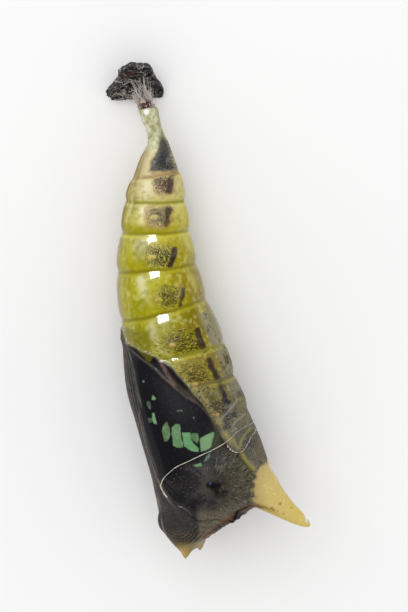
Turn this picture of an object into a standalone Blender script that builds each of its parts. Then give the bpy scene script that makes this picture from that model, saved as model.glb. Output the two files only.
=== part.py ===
"""A swallowtail chrysalis lying on its left side, still fixed by its silk pad to a chip of bark.

Lengths are millimetres until metres() turns them into Blender's units. The chrysalis is drawn in its own
frame: X points to its back, Y to its tail and Z to its right flank. It is then rolled and pitched into the
pose in which it lies on a table, with +Z up, and everything is moved so that the middle of the underside of
the whole object is the origin.
"""

import math

import bmesh
import bpy
from mathutils import Matrix, Vector

# How the chrysalis lies.
ROLL = math.radians(16.0)  # its back turned up from the table
PITCH = math.radians(2.2)  # its tail lower than its head
FLAT_DEPTH = 0.25  # how much of the underside is pressed flat where it lies
GAP = 0.06  # between pieces that touch

# Sections of the chrysalis from tail to head: place along the body, centre line towards the back, tilt in
# degrees, half depth from belly to back, half width from flank to flank and how far the section sags
# towards the head on the flanks. The abdomen's segments meet at the sections from FIRST_BORDER to
# LAST_BORDER.
SECTIONS = (
    (34.05, -1.35, 8.0, 0.78, 0.76, 0.0),  # tip of the tail stalk
    (33.30, -1.12, 6.0, 0.70, 0.68, 0.0),
    (32.40, -0.82, 5.0, 0.62, 0.61, 0.0),
    (31.46, -0.55, 4.0, 0.78, 0.78, 0.0),  # foot of the stalk
    (30.50, -0.64, 4.0, 1.22, 1.18, 0.0),
    (29.04, -0.70, 7.0, 1.72, 1.70, 0.0),  # first border of the abdomen's segments
    (27.12, -0.78, 0.0, 2.12, 2.15, 0.0),
    (24.82, -0.80, 1.5, 2.46, 2.52, 0.0),
    (22.07, -0.70, 6.3, 2.92, 2.92, 0.0),
    (18.94, -0.20, 14.5, 3.24, 3.28, 0.23),
    (15.70, 0.57, 10.5, 3.85, 3.70, 0.15),
    (13.35, 1.08, 9.0, 4.07, 4.00, 0.1),
    (10.95, 1.98, 8.0, 4.24, 4.15, 0.0),  # last border, where the girdle passes
    (8.89, 2.77, 7.3, 4.45, 4.05, 0.0),
    (6.97, 3.39, 6.0, 4.54, 3.85, 0.0),
    (5.25, 3.71, 4.0, 4.54, 3.50, 0.0),
    (3.82, 3.20, 3.0, 3.79, 3.20, 0.0),
    (2.85, 2.46, 3.0, 2.84, 3.05, 0.0),
    (1.88, 2.02, 3.0, 2.00, 2.90, 0.0),
    (1.11, 1.87, 3.5, 1.10, 2.60, 0.0),
    (0.58, 1.99, 4.0, 0.53, 2.20, 0.0),  # front of the head
)
FIRST_BORDER = 5
LAST_BORDER = 12
SEGMENT_SWELL = 0.22  # how far a segment stands out between its borders
SEGMENT_STEPS = (0.0, 0.07, 0.2, 0.4, 0.62, 0.82, 0.94)
PLAIN_STEPS = (0.0, 0.34, 0.67)
THORAX_EGG = 0.16  # how much narrower the back of the thorax is than its belly
POINTS_AROUND = 36

# The upper edge of the wing cases, as places along the body and towards the back. They cover the belly
# side of the abdomen's segments, which show only between this edge and the back.
WING_EDGE = (
    (17.5, -3.6),
    (17.0, -2.5),
    (16.2, -1.35),
    (15.7, 0.0),
    (14.9, 1.3),
    (13.7, 2.4),
    (12.1, 3.65),
    (10.9, 4.4),
    (9.5, 5.2),
    (8.6, 6.25),
)
WING_BLEND = 0.45  # half the width over which the segments sink under the edge

# The horn on the back of the thorax: centre along X and Y, half height and half thickness, root to tip.
HORN = (
    (5.85, 6.42, 2.25, 2.10),
    (7.26, 5.50, 1.65, 1.60),
    (8.19, 4.78, 1.21, 1.15),
    (9.25, 4.00, 0.85, 0.78),
    (10.22, 3.36, 0.60, 0.54),
    (10.90, 2.94, 0.36, 0.34),
    (11.30, 2.70, 0.08, 0.08),
)
HORN_POINTS_AROUND = 20

# The two points on the front of the head, and the eyes.
HEAD_POINT_BASE = Vector((2.00, 1.35, 1.62))
HEAD_POINT_TIP = Vector((2.02, 0.12, 2.05))
HEAD_POINT_RADII = (0.85, 0.12)
EYE_CENTRE = Vector((1.15, 3.05, 1.60))
EYE_RADIUS = 1.40

# The chip of bark: outline across the chip and up its face, from the foot at the tail's belly side.
CHIP_SLOPE = math.radians(50.0)
CHIP_YAW = math.radians(9.0)
CHIP_THICKNESS = 0.5
CHIP_BEYOND_STALK = 2.374  # from the stalk's tip to the chip's face
CHIP_ASIDE = 0.1  # of the middle of the outline's foot from the stalk's tip
CHIP_OUTLINE = (
    (-2.60, 0.55),
    (-1.40, 0.4),
    (-0.60, 0.0),
    (1.10, 0.0),
    (1.30, 0.6),
    (1.20, 1.5),
    (0.98, 2.0),
    (0.84, 2.95),
    (0.70, 3.8),
    (0.50, 4.1),
    (-0.78, 4.65),
    (-1.90, 3.95),
    (-1.70, 3.6),
    (-2.45, 2.4),
    (-3.12, 1.45),
)

# The silk pad: radii at the stalk and on the chip, where it meets the chip and how many rings it has.
PAD_RADII = (0.74, 0.95)
PAD_FOOT = (-0.35, 2.75)
PAD_RINGS = 6

# The silk girdle, by section number and angle in degrees from the middle of the back towards the right
# flank. The strand is torn off on the right wing case and on the left flank.
STRAND_RADIUS = 0.055
STRAND_LIFT = 0.12
STRAND_STEPS = 5
STRAND_POINTS_AROUND = 8
STRAND_ROUTE = (
    (12.85, -62.0),
    (12.65, -45.0),
    (12.52, -26.0),
    (12.50, -7.0),
    (12.52, 18.0),
    (12.63, 34.0),
    (12.85, 48.0),
    (13.05, 63.0),
    (13.20, 76.0),
    (13.38, 90.0),
    (13.59, 105.0),
    (13.84, 116.0),
    (14.21, 128.0),
    (14.45, 132.0),
    (14.75, 130.5),
    (15.00, 126.0),
)
LOOP_ROUTE = (
    (12.76, 1.0),
    (12.90, 18.0),
    (13.10, 28.0),
    (13.31, 37.0),
    (13.33, 45.0),
    (13.22, 49.5),
    (13.06, 51.5),
)

MATERIALS = {
    "chrysalis": ((0.45, 0.42, 0.08), 0.35),
    "bark": ((0.05, 0.045, 0.04), 0.8),
    "silk": ((0.75, 0.72, 0.66), 0.55),
}


def metres(length):
    return length * 0.001


def clear_scene():
    for old in list(bpy.data.objects):
        bpy.data.objects.remove(old, do_unlink=True)


def smooth_step(value, low, high):
    share = min(max((value - low) / (high - low), 0.0), 1.0)
    return share * share * (3.0 - 2.0 * share)


def catmull_rom(rows, at):
    """The row of numbers at a place between whole row numbers, on a smooth curve through all rows."""
    last = len(rows) - 1
    first = min(int(at), last - 1)
    share = at - first
    p0, p1, p2, p3 = (rows[min(max(first + step, 0), last)] for step in (-1, 0, 1, 2))
    return tuple(
        0.5
        * (
            2 * b
            + (c - a) * share
            + (2 * a - 5 * b + 4 * c - d) * share**2
            + (3 * b - a - 3 * c + d) * share**3
        )
        for a, b, c, d in zip(p0, p1, p2, p3)
    )


def segment_swell(at):
    """How far the skin stands out at a place on the abdomen: tight at each border, full behind the next."""
    if not FIRST_BORDER <= at <= LAST_BORDER:
        return 0.0
    share = at - int(at)
    return SEGMENT_SWELL * (1.0 - (1.0 - share) ** 5 - share**9)


def beyond_wing_edge(along, out):
    """1 on the bare skin between the wing cases and the back, 0 under the wing cases."""
    if along >= WING_EDGE[0][0]:
        return 1.0
    edge = WING_EDGE[-1][1]
    for (here, low), (there, high) in zip(WING_EDGE, WING_EDGE[1:]):
        if there <= along <= here:
            edge = low + (high - low) * (here - along) / (here - there)
    return smooth_step(out - edge, -WING_BLEND, WING_BLEND)


def body_point(at, angle, lift=0.0):
    """A point on the skin of the chrysalis, at a section number and an angle from the middle of the back."""
    along, centre, tilt, half_depth, half_width, sag = catmull_rom(SECTIONS, at)
    bare = beyond_wing_edge(along, centre + half_depth * math.cos(angle))
    swell = segment_swell(at) * bare + lift
    egg = THORAX_EGG * smooth_step(at, 9.0, 13.0) * (1.0 - smooth_step(at, 15.5, 18.0))
    depth = (half_depth + swell) * math.cos(angle)
    width = (half_width + swell) * math.sin(angle) * (1.0 - egg * math.cos(angle))
    slant = math.radians(tilt)
    return Vector(
        (
            centre + depth * math.cos(slant),
            along + depth * math.sin(slant) - sag * math.sin(angle) ** 2,
            width,
        )
    )


def loft(rings):
    """A mesh of rings of points joined by four-sided faces, with both ends closed."""
    mesh = bmesh.new()
    loops = [[mesh.verts.new([metres(value) for value in point]) for point in ring] for ring in rings]
    for here, there in zip(loops, loops[1:]):
        for index in range(len(here)):
            following = (index + 1) % len(here)
            mesh.faces.new((here[index], here[following], there[following], there[index]))
    mesh.faces.new(loops[0])
    mesh.faces.new(loops[-1])
    bmesh.ops.recalc_face_normals(mesh, faces=mesh.faces)
    return mesh


def add_object(name, mesh, material):
    """Links the bmesh as a named object with its own material, shaded smooth."""
    data = bpy.data.meshes.new(name)
    mesh.to_mesh(data)
    mesh.free()
    data.shade_smooth()
    data.set_sharp_from_angle(angle=math.radians(40.0))
    made = bpy.data.objects.new(name, data)
    bpy.context.scene.collection.objects.link(made)
    colour, roughness = MATERIALS[material]
    finish = bpy.data.materials.new(name)
    finish.use_nodes = True
    shader = finish.node_tree.nodes["Principled BSDF"]
    shader.inputs["Base Color"].default_value = (*colour, 1.0)
    shader.inputs["Roughness"].default_value = roughness
    shader.inputs["Metallic"].default_value = 0.0
    data.materials.append(finish)
    return made


def add_helper(name, mesh):
    """An object that only joins or cuts another one."""
    helper = add_object(name, mesh, "chrysalis")
    helper.hide_render = True
    helper.display_type = "WIRE"
    return helper


def add_boolean(target, helper, operation):
    boolean = target.modifiers.new(helper.name, "BOOLEAN")
    boolean.operation = operation
    boolean.object = helper
    boolean.solver = "EXACT"


def turned_between(start, end):
    """The turn that points +Z from start to end, with the place halfway."""
    way = end - start
    middle = [metres(value) for value in (start + end) / 2.0]
    return Matrix.Translation(middle) @ way.to_track_quat("Z", "Y").to_matrix().to_4x4()


def body_sections():
    """The section numbers of the body's rings, closer together round the borders of the segments."""
    places = []
    for border in range(len(SECTIONS) - 1):
        steps = SEGMENT_STEPS if FIRST_BORDER <= border < LAST_BORDER else PLAIN_STEPS
        places += [border + step for step in steps]
    return [*places, len(SECTIONS) - 1.0]


def body_mesh():
    around = [2.0 * math.pi * step / POINTS_AROUND for step in range(POINTS_AROUND)]
    return loft([[body_point(at, angle) for angle in around] for at in body_sections()])


def horn_mesh():
    """The horn's rings stand square to its centre line."""
    rings = []
    for step in range(3 * (len(HORN) - 1) + 1):
        at = step / 3.0
        x, y, half_height, half_thickness = catmull_rom(HORN, at)
        ahead = catmull_rom(HORN, min(at + 0.1, len(HORN) - 1.0))
        behind = catmull_rom(HORN, max(at - 0.1, 0.0))
        way = Vector((ahead[0] - behind[0], ahead[1] - behind[1], 0.0)).normalized()
        square = Vector((-way.y, way.x, 0.0))
        ring = []
        for point in range(HORN_POINTS_AROUND):
            angle = 2.0 * math.pi * point / HORN_POINTS_AROUND
            across = square * half_height * math.cos(angle)
            ring.append(Vector((x, y, half_thickness * math.sin(angle))) + across)
        rings.append(ring)
    return loft(rings)


def head_point_mesh(side):
    """One of the two blunt points on the front of the head."""
    base, tip = (
        Vector((point.x, point.y, point.z * side)) for point in (HEAD_POINT_BASE, HEAD_POINT_TIP)
    )
    mesh = bmesh.new()
    bmesh.ops.create_cone(
        mesh,
        cap_ends=True,
        segments=16,
        radius1=metres(HEAD_POINT_RADII[0]),
        radius2=metres(HEAD_POINT_RADII[1]),
        depth=metres((tip - base).length),
        matrix=turned_between(base, tip),
    )
    return mesh


def eye_mesh(side):
    mesh = bmesh.new()
    centre = Vector((EYE_CENTRE.x, EYE_CENTRE.y, EYE_CENTRE.z * side))
    place = Matrix.Translation([metres(value) for value in centre])
    radius = metres(EYE_RADIUS)
    bmesh.ops.create_uvsphere(mesh, u_segments=20, v_segments=12, radius=radius, matrix=place)
    return mesh


def make_chrysalis():
    chrysalis = add_object("chrysalis", body_mesh(), "chrysalis")
    helpers = [add_helper("horn_helper", horn_mesh())]
    for side, name in ((1.0, "right"), (-1.0, "left")):
        helpers.append(add_helper(f"eye_{name}_helper", eye_mesh(side)))
        helpers.append(add_helper(f"head_point_{name}_helper", head_point_mesh(side)))
    for helper in helpers:
        add_boolean(chrysalis, helper, "UNION")
    return chrysalis, helpers


def make_strand(name, route):
    """A silk thread that follows the skin through the route's section numbers and angles."""
    ends = len(route) - 1
    count = STRAND_STEPS * ends
    path = []
    for index in range(count + 1):
        at, angle = catmull_rom(route, ends * index / count)
        path.append(body_point(at, math.radians(angle), STRAND_LIFT))
    rings = []
    for index, point in enumerate(path):
        way = (path[min(index + 1, count)] - path[max(index - 1, 0)]).normalized()
        side = way.cross(Vector((0.0, 1.0, 0.3))).normalized()
        other = way.cross(side)
        ring = []
        for step in range(STRAND_POINTS_AROUND):
            angle = 2.0 * math.pi * step / STRAND_POINTS_AROUND
            ring.append(point + (side * math.cos(angle) + other * math.sin(angle)) * STRAND_RADIUS)
        rings.append(ring)
    return add_object(name, loft(rings), "silk")


def lying_pose():
    """The turn into the lying pose, and the lift that lets the flat underside down on the table."""
    turn = Matrix.Rotation(-PITCH, 4, "X") @ Matrix.Rotation(-ROLL, 4, "Y")
    around = [2.0 * math.pi * step / POINTS_AROUND for step in range(POINTS_AROUND)]
    lowest = min((turn @ body_point(at, angle)).z for at in body_sections() for angle in around)
    return Matrix.Translation((0.0, 0.0, -lowest - FLAT_DEPTH)) @ turn


def stalk_tip(pose):
    return pose @ Vector((SECTIONS[0][1], SECTIONS[0][0], 0.0))


def chip_frame(pose):
    """The chip's own frame: X across it, Y up its face and Z out of it, towards the chrysalis."""
    turn = Matrix.Rotation(CHIP_YAW, 4, "Z") @ Matrix.Rotation(CHIP_SLOPE, 4, "X")
    tip = stalk_tip(pose)
    foot = tip + Matrix.Rotation(CHIP_YAW, 3, "Z") @ Vector((CHIP_ASIDE, CHIP_BEYOND_STALK, 0.0))
    foot -= turn.to_3x3() @ Vector((0.0, tip.z / math.sin(CHIP_SLOPE), 0.0))
    foot.z = CHIP_THICKNESS * math.cos(CHIP_SLOPE) - FLAT_DEPTH
    return Matrix.Translation(foot) @ turn


def make_chip(frame):
    mesh = bmesh.new()
    face = mesh.faces.new(
        [mesh.verts.new([metres(value) for value in frame @ Vector((x, y, 0.0))]) for x, y in CHIP_OUTLINE]
    )
    inward = -(frame.to_3x3() @ Vector((0.0, 0.0, 1.0)))
    made = bmesh.ops.extrude_face_region(mesh, geom=[face])
    moved = [item for item in made["geom"] if isinstance(item, bmesh.types.BMVert)]
    bmesh.ops.translate(mesh, verts=moved, vec=inward * metres(CHIP_THICKNESS))
    bmesh.ops.recalc_face_normals(mesh, faces=mesh.faces)
    return add_object("bark_chip", mesh, "bark")


def make_pad(pose, frame):
    """A funnel of silk from just behind the stalk's tip to just in front of the chip."""
    tip = stalk_tip(pose)
    way = (tip - pose @ Vector((SECTIONS[1][1], SECTIONS[1][0], 0.0))).normalized()
    out = frame.to_3x3() @ Vector((0.0, 0.0, 1.0))
    start = tip + way * GAP
    end = frame @ Vector((*PAD_FOOT, GAP))
    rings = []
    for step in range(PAD_RINGS + 1):
        share = step / PAD_RINGS
        centre = start.lerp(end, share)
        square = way.lerp(-out, share).normalized()
        side = Vector((1.0, 0.0, 0.0)).cross(square).normalized()
        other = square.cross(side)
        radius = PAD_RADII[0] + (PAD_RADII[1] - PAD_RADII[0]) * share**1.5
        ring = []
        for point in range(24):
            angle = 2.0 * math.pi * point / 24
            ring.append(centre + (side * math.cos(angle) + other * math.sin(angle)) * radius)
        rings.append(ring)
    return add_object("silk_pad", loft(rings), "silk")


def make_table_cutter():
    """A block whose top is the table: what would sink into it is cut flat."""
    mesh = bmesh.new()
    place = Matrix.Translation([metres(value) for value in (0.0, 15.0, -5.0)])
    size = Matrix.Diagonal([metres(value) for value in (60.0, 80.0, 10.0)] + [1.0])
    bmesh.ops.create_cube(mesh, size=1.0, matrix=place @ size)
    return add_helper("table_helper", mesh)


def centre_on_origin(pieces, parents):
    """Moves everything so that the middle of the whole object's underside is the origin."""
    bpy.context.view_layer.update()
    graph = bpy.context.evaluated_depsgraph_get()
    points = []
    for piece in pieces:
        seen = piece.evaluated_get(graph)
        points += [seen.matrix_world @ vertex.co for vertex in seen.data.vertices]
    middle_x = (min(point.x for point in points) + max(point.x for point in points)) / 2.0
    middle_y = (min(point.y for point in points) + max(point.y for point in points)) / 2.0
    for parent in parents:
        parent.matrix_world = Matrix.Translation((-middle_x, -middle_y, 0.0)) @ parent.matrix_world


def build():
    clear_scene()
    pose = lying_pose()
    chrysalis, helpers = make_chrysalis()
    strands = [make_strand("girdle_strand", STRAND_ROUTE), make_strand("girdle_loop", LOOP_ROUTE)]
    body = bpy.data.objects.new("body_pose", None)
    bpy.context.scene.collection.objects.link(body)
    turn = pose.to_3x3().to_4x4()
    body.matrix_world = Matrix.Translation([metres(value) for value in pose.translation]) @ turn
    for part in [chrysalis, *helpers, *strands]:
        part.parent = body
    frame = chip_frame(pose)
    chip = make_chip(frame)
    pad = make_pad(pose, frame)
    table = make_table_cutter()
    for piece in (chrysalis, chip):
        add_boolean(piece, table, "DIFFERENCE")
    centre_on_origin([chrysalis, chip, pad, *strands], [body, chip, pad, table])


build()
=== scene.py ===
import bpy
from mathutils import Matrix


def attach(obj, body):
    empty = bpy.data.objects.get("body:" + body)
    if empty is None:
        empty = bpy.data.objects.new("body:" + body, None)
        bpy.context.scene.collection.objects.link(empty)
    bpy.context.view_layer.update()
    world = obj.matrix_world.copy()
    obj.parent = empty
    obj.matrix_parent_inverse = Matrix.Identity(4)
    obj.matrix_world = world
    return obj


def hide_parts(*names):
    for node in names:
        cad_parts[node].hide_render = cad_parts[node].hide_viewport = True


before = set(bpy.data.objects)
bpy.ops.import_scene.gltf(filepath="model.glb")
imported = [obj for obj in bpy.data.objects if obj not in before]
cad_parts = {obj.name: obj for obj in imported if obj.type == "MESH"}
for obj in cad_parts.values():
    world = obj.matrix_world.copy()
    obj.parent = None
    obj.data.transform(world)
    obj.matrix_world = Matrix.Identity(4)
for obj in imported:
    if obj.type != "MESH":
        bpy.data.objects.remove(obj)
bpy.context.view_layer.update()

import math

import bpy
import numpy as np
from bpy.props import FloatProperty, FloatVectorProperty, IntProperty, PointerProperty
from mathutils import Matrix, Vector

bl_info = {
    "name": "Swallowtail chrysalis",
    "version": (1, 0, 0),
    "blender": (4, 5, 0),
    "location": "3D View > Sidebar > Chrysalis",
    "description": "A swallowtail chrysalis with its girdle, silk pad and chip of bark",
    "category": "Object",
}

# ---- the body's own drawing frame, in millimetres: X to the back, Y to the tail, Z to the right flank ----

MM = 0.001
LIE_ROLL = math.radians(16.0)
LIE_PITCH = math.radians(2.2)
LIE_AT = (-3.1813, -18.8167, 4.0636)  # of the drawing frame's origin, in the lying frame
LYING = (
    Matrix.Translation(LIE_AT) @ Matrix.Rotation(-LIE_PITCH, 4, "X") @ Matrix.Rotation(-LIE_ROLL, 4, "Y")
)

# Rings from tail to head: along, centre, tilt in degrees, half depth, half width, sag of the sides.
# Ring numbers count the borders: 5 is A8/9, 6 is A7/8 and so on to 12, A1/2, where the girdle runs.
RINGS = np.array([
    (34.05, -1.35, 8.0, 0.78, 0.76, 0.0), (33.3, -1.12, 6.0, 0.7, 0.68, 0.0),
    (32.4, -0.82, 5.0, 0.62, 0.61, 0.0), (31.46, -0.55, 4.0, 0.78, 0.78, 0.0),
    (30.5, -0.64, 4.0, 1.22, 1.18, 0.0), (29.04, -0.7, 7.0, 1.72, 1.7, 0.0),
    (27.12, -0.78, 0.0, 2.12, 2.15, 0.0), (24.82, -0.8, 1.5, 2.46, 2.52, 0.0),
    (22.07, -0.7, 6.3, 2.92, 2.92, 0.0), (18.94, -0.2, 14.5, 3.24, 3.28, 0.23),
    (15.7, 0.57, 10.5, 3.85, 3.7, 0.15), (13.35, 1.08, 9.0, 4.07, 4.0, 0.1),
    (10.95, 1.98, 8.0, 4.24, 4.15, 0.0), (8.89, 2.77, 7.3, 4.45, 4.05, 0.0),
    (6.97, 3.39, 6.0, 4.54, 3.85, 0.0), (5.25, 3.71, 4.0, 4.54, 3.5, 0.0),
    (3.82, 3.2, 3.0, 3.79, 3.2, 0.0), (2.85, 2.46, 3.0, 2.84, 3.05, 0.0),
    (1.88, 2.02, 3.0, 2.0, 2.9, 0.0), (1.11, 1.87, 3.5, 1.1, 2.6, 0.0),
    (0.58, 1.99, 4.0, 0.53, 2.2, 0.0),
])

# ---- outlines and lines on the flank, as (X, Y), the same on both flanks ----

WING_RIM = [
    (-2.89, 17.45), (-2.39, 16.61), (-1.8, 16.48), (-1.41, 16.38), (-0.99, 16.19), (-0.51, 16.08),
    (0.0, 15.92), (0.35, 15.78), (0.57, 15.59), (0.97, 15.45), (1.38, 15.25), (1.72, 14.95),
    (1.96, 14.62), (2.35, 14.21), (2.66, 13.77), (3.0, 13.3), (3.29, 12.97), (3.76, 12.44),
    (4.09, 11.92), (4.4, 11.34), (4.69, 10.77), (4.97, 10.28), (5.19, 9.83), (5.48, 9.37),
    (5.82, 8.83), (6.28, 8.57),
]
RIDGE = [(6.35, 8.78), (6.74, 8.03), (7.07, 7.53), (7.43, 7.0)]
WING_FAR_SIDE = [(7.4, 6.16), (7.3, 4.56), (7.2, 2.0), (2.0, -2.0), (-8.0, -2.0), (-8.0, 18.6)]  # past the body
FOREWING = [
    (-2.39, 16.61), (-1.82, 16.13), (-1.15, 15.76), (-0.66, 15.42), (-0.3, 15.24), (0.43, 14.75),
    (0.97, 14.21), (1.36, 13.92), (1.79, 13.55), (2.16, 13.25), (2.66, 12.82), (3.48, 12.35),
    (3.97, 11.86), (4.29, 11.39), (4.53, 10.89), (4.77, 10.37), (5.0, 9.84),
]
FOREWING_FAR_SIDE = [(5.3, 9.2), (7.3, 7.0), (7.3, 2.0), (2.0, -2.0), (-8.0, -2.0), (-8.0, 17.2)]  # past the body
WEDGE = [(-1.27, 16.32), (-0.53, 16.08), (0.03, 15.89), (0.15, 15.77), (-0.12, 15.42), (-0.3, 15.24), (-0.67, 15.68)]
ROSE_STREAK = [(0.6, 15.52), (0.99, 14.94), (1.24, 14.52), (1.55, 14.07), (1.79, 13.76)]
BROWN_STREAK = [(1.76, 13.91), (2.12, 13.61), (2.56, 13.23), (3.2, 12.72)]
SHEATH = [
    (-2.39, 16.61), (-2.13, 15.45), (-1.73, 14.39), (-1.35, 12.98), (-1.09, 12.27), (-0.91, 11.41),
    (-0.58, 10.03), (-0.32, 8.79), (0.06, 7.74), (0.42, 6.68), (0.89, 5.78), (1.36, 5.05),
    (1.85, 4.63), (2.3, 4.03),
]

# Windows in the wing: outline, shade.
SPOTS = [
    ([(-0.83, 13.87), (-0.7, 14.03), (-0.54, 13.92), (-0.66, 13.73)], "mist"),
    ([(0.01, 12.66), (0.11, 12.99), (0.44, 12.69), (0.3, 12.55), (0.01, 12.55)], "jade"),
    ([(-0.41, 12.44), (-0.13, 12.47), (0.04, 12.14), (-0.04, 11.79), (-0.24, 11.9), (-0.4, 12.14)], "mould"),
    ([(-0.32, 11.14), (-0.01, 11.22), (0.03, 10.87), (-0.29, 10.74)], "mould"),
    ([(0.03, 11.58), (0.3, 11.61), (0.39, 11.14), (0.48, 10.75), (0.23, 10.77), (0.04, 11.05)], "jade"),
    ([(0.9, 10.56), (1.09, 10.92), (1.32, 11.11), (1.5, 10.51), (1.54, 10.04), (1.34, 9.53), (1.05, 9.47),
      (0.93, 9.86), (0.83, 10.25)], "sage"),
    ([(1.67, 10.65), (1.93, 10.88), (2.24, 10.88), (2.34, 10.54), (2.37, 9.93), (2.49, 9.5), (2.53, 9.11),
      (1.96, 9.07), (1.72, 9.2), (1.69, 9.78), (1.65, 10.22)], "moss"),
    ([(2.4, 10.28), (3.07, 10.25), (3.12, 9.68), (3.29, 9.42), (3.66, 9.08), (3.7, 8.77), (3.24, 8.77),
      (2.83, 8.99), (2.58, 9.2), (2.49, 9.72)], "emerald"),
    ([(3.11, 10.2), (3.6, 10.19), (3.63, 9.68), (3.53, 9.42), (3.16, 9.68)], "shade"),
    ([(3.7, 9.76), (3.99, 10.01), (4.42, 10.2), (4.68, 10.22), (4.66, 9.89), (4.56, 9.47), (4.53, 9.14),
      (4.14, 8.85), (3.76, 8.71), (3.71, 9.08)], "jade"),
    ([(2.0, 11.94), (2.46, 11.95), (2.46, 11.8), (2.0, 11.78)], "mould"),
    ([(3.13, 11.32), (3.24, 11.45), (3.36, 11.32), (3.25, 11.17)], "mist"),
    ([(3.95, 7.99), (4.11, 8.38), (4.46, 8.8), (4.43, 8.38), (4.18, 8.07)], "mist"),
    ([(3.23, 7.77), (3.82, 7.99), (3.9, 7.69), (3.56, 7.64), (3.27, 7.73)], "jade"),
    ([(2.07, 7.36), (2.36, 7.61), (2.4, 7.48), (2.16, 7.33)], "mist"),
]
SHADES = {
    "mist": (0.4, 0.5, 0.43), "jade": (0.46, 0.61, 0.43), "mould": (0.26, 0.32, 0.26),
    "sage": (0.36, 0.46, 0.3), "moss": (0.39, 0.53, 0.36), "emerald": (0.39, 0.6, 0.39), "shade": (0.31, 0.46, 0.29),
}

# Dark shields on the flanks: outline, colour between the specks, colour of the specks, how dense they are.
SHIELDS = [
    ([(-0.24, 32.45), (0.02, 32.05), (0.46, 31.1), (0.86, 29.95), (1.02, 29.42), (-0.8, 29.44), (-0.76, 29.68),
      (-0.6, 30.26), (-0.38, 30.99), (-0.28, 31.7)], (0.27, 0.265, 0.27), (0.07, 0.065, 0.085), 0.46),
    ([(-0.45, 29.32), (0.9, 29.19), (0.92, 28.49), (0.9, 27.91), (0.2, 27.8), (-0.16, 28.09), (-0.35, 28.67)],
     (0.8, 0.66, 0.5), (0.19, 0.12, 0.16), 0.55),
    ([(-0.71, 26.76), (-0.36, 26.94), (0.41, 26.9), (0.91, 26.58), (0.93, 25.93), (0.69, 25.35), (0.3, 25.26),
      (-0.56, 25.45), (-0.81, 26.18)], (0.84, 0.73, 0.5), (0.2, 0.12, 0.13), 0.5),
    ([(-0.64, 23.68), (-0.36, 24.05), (0.34, 24.19), (1.02, 23.95), (1.4, 23.63), (1.35, 22.75), (1.05, 22.28),
      (0.05, 22.35), (-0.46, 22.57), (-0.62, 23.09)], (0.81, 0.75, 0.34), (0.2, 0.13, 0.08), 0.5),
    ([(-0.01, 20.59), (0.49, 21.04), (1.3, 21.01), (2.0, 20.82), (2.15, 20.3), (2.04, 19.57), (1.6, 19.22),
      (0.53, 19.41), (0.01, 20.0)], (0.71, 0.68, 0.2), (0.26, 0.2, 0.06), 0.46),
    ([(0.71, 17.22), (1.34, 17.81), (2.35, 17.92), (3.11, 17.72), (3.34, 17.13), (3.75, 16.06), (3.09, 15.98),
      (1.95, 15.81), (1.41, 16.2), (0.66, 16.7)], (0.55, 0.52, 0.09), (0.27, 0.23, 0.05), 0.43),
    ([(1.9, 14.73), (2.56, 15.45), (3.27, 15.62), (4.0, 15.55), (4.35, 14.87), (4.64, 13.91), (4.94, 13.21),
      (5.19, 12.63), (4.94, 12.25), (3.98, 12.25), (3.35, 13.01), (2.62, 13.83)],
     (0.55, 0.5, 0.17), (0.27, 0.23, 0.07), 0.4),
    ([(3.98, 12.32), (5.01, 12.65), (5.5, 12.29), (5.33, 11.84), (5.02, 11.35), (4.54, 11.41), (4.2, 11.87)],
     (0.29, 0.25, 0.1), (0.15, 0.13, 0.1), 0.5),
]
SHIELD_EDGES = [  # line along a shield's back edge, half width, how strong
    ([(0.85, 29.2), (0.8, 28.49), (0.75, 27.95)], 0.2, 0.75),
    ([(0.7, 26.74), (0.8, 26.29), (0.7, 25.42)], 0.18, 0.75),
    ([(1.28, 23.7), (1.25, 23.19), (1.05, 22.5)], 0.17, 0.92),
    ([(1.98, 20.78), (2.02, 20.23), (1.9, 19.55)], 0.13, 0.9),
    ([(3.11, 17.72), (3.29, 17.13), (3.48, 16.6), (3.66, 16.1)], 0.15, 0.92),
    ([(4.0, 15.5), (4.2, 15.0), (4.42, 14.56), (4.56, 13.95), (4.75, 13.63), (4.96, 13.14), (5.18, 12.61),
      (5.42, 12.29)], 0.2, 0.9),
]
BREATHING_HOLES = [(-0.14, 26.11), (-0.17, 23.17), (0.42, 20.01), (1.56, 16.71), (3.21, 13.79), (4.71, 11.48)]
# line of a pale column on the flank: cream skin, with painted highlight below each border
CREAM_AND_HIGHLIGHT_COLUMN = [(-0.5, 31.3), (-0.92, 30.2), (-1.0, 29.3), (-0.78, 28.4), (-1.0, 26.0), (-1.18, 23.6),
                (-0.9, 21.0), (-0.12, 18.2), (0.15, 17.2)]
# pale streaks near the back of segments: painted reflections of a strip light at the right
PAINTED_STRIP_REFLECTIONS = [
    [(1.62, 24.72), (1.91, 24.04), (2.11, 23.35)], [(2.14, 21.92), (2.42, 21.39), (2.7, 20.6)],
    [(2.86, 19.51), (3.27, 18.78), (3.6, 18.0)], [(1.35, 26.9), (1.5, 26.2), (1.62, 25.6)],
]
BACK_LINE = [(3.28, 18.71), (3.82, 17.6), (4.48, 16.03), (4.71, 15.47), (4.95, 14.78), (5.1, 14.2),
             (5.42, 13.5), (5.75, 12.84)]
PALE_WRINKLES = [(0.2, 17.15), (1.5, 16.62), (1.62, 15.44), (1.3, 15.3), (0.62, 15.72), (0.1, 16.2)]

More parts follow.
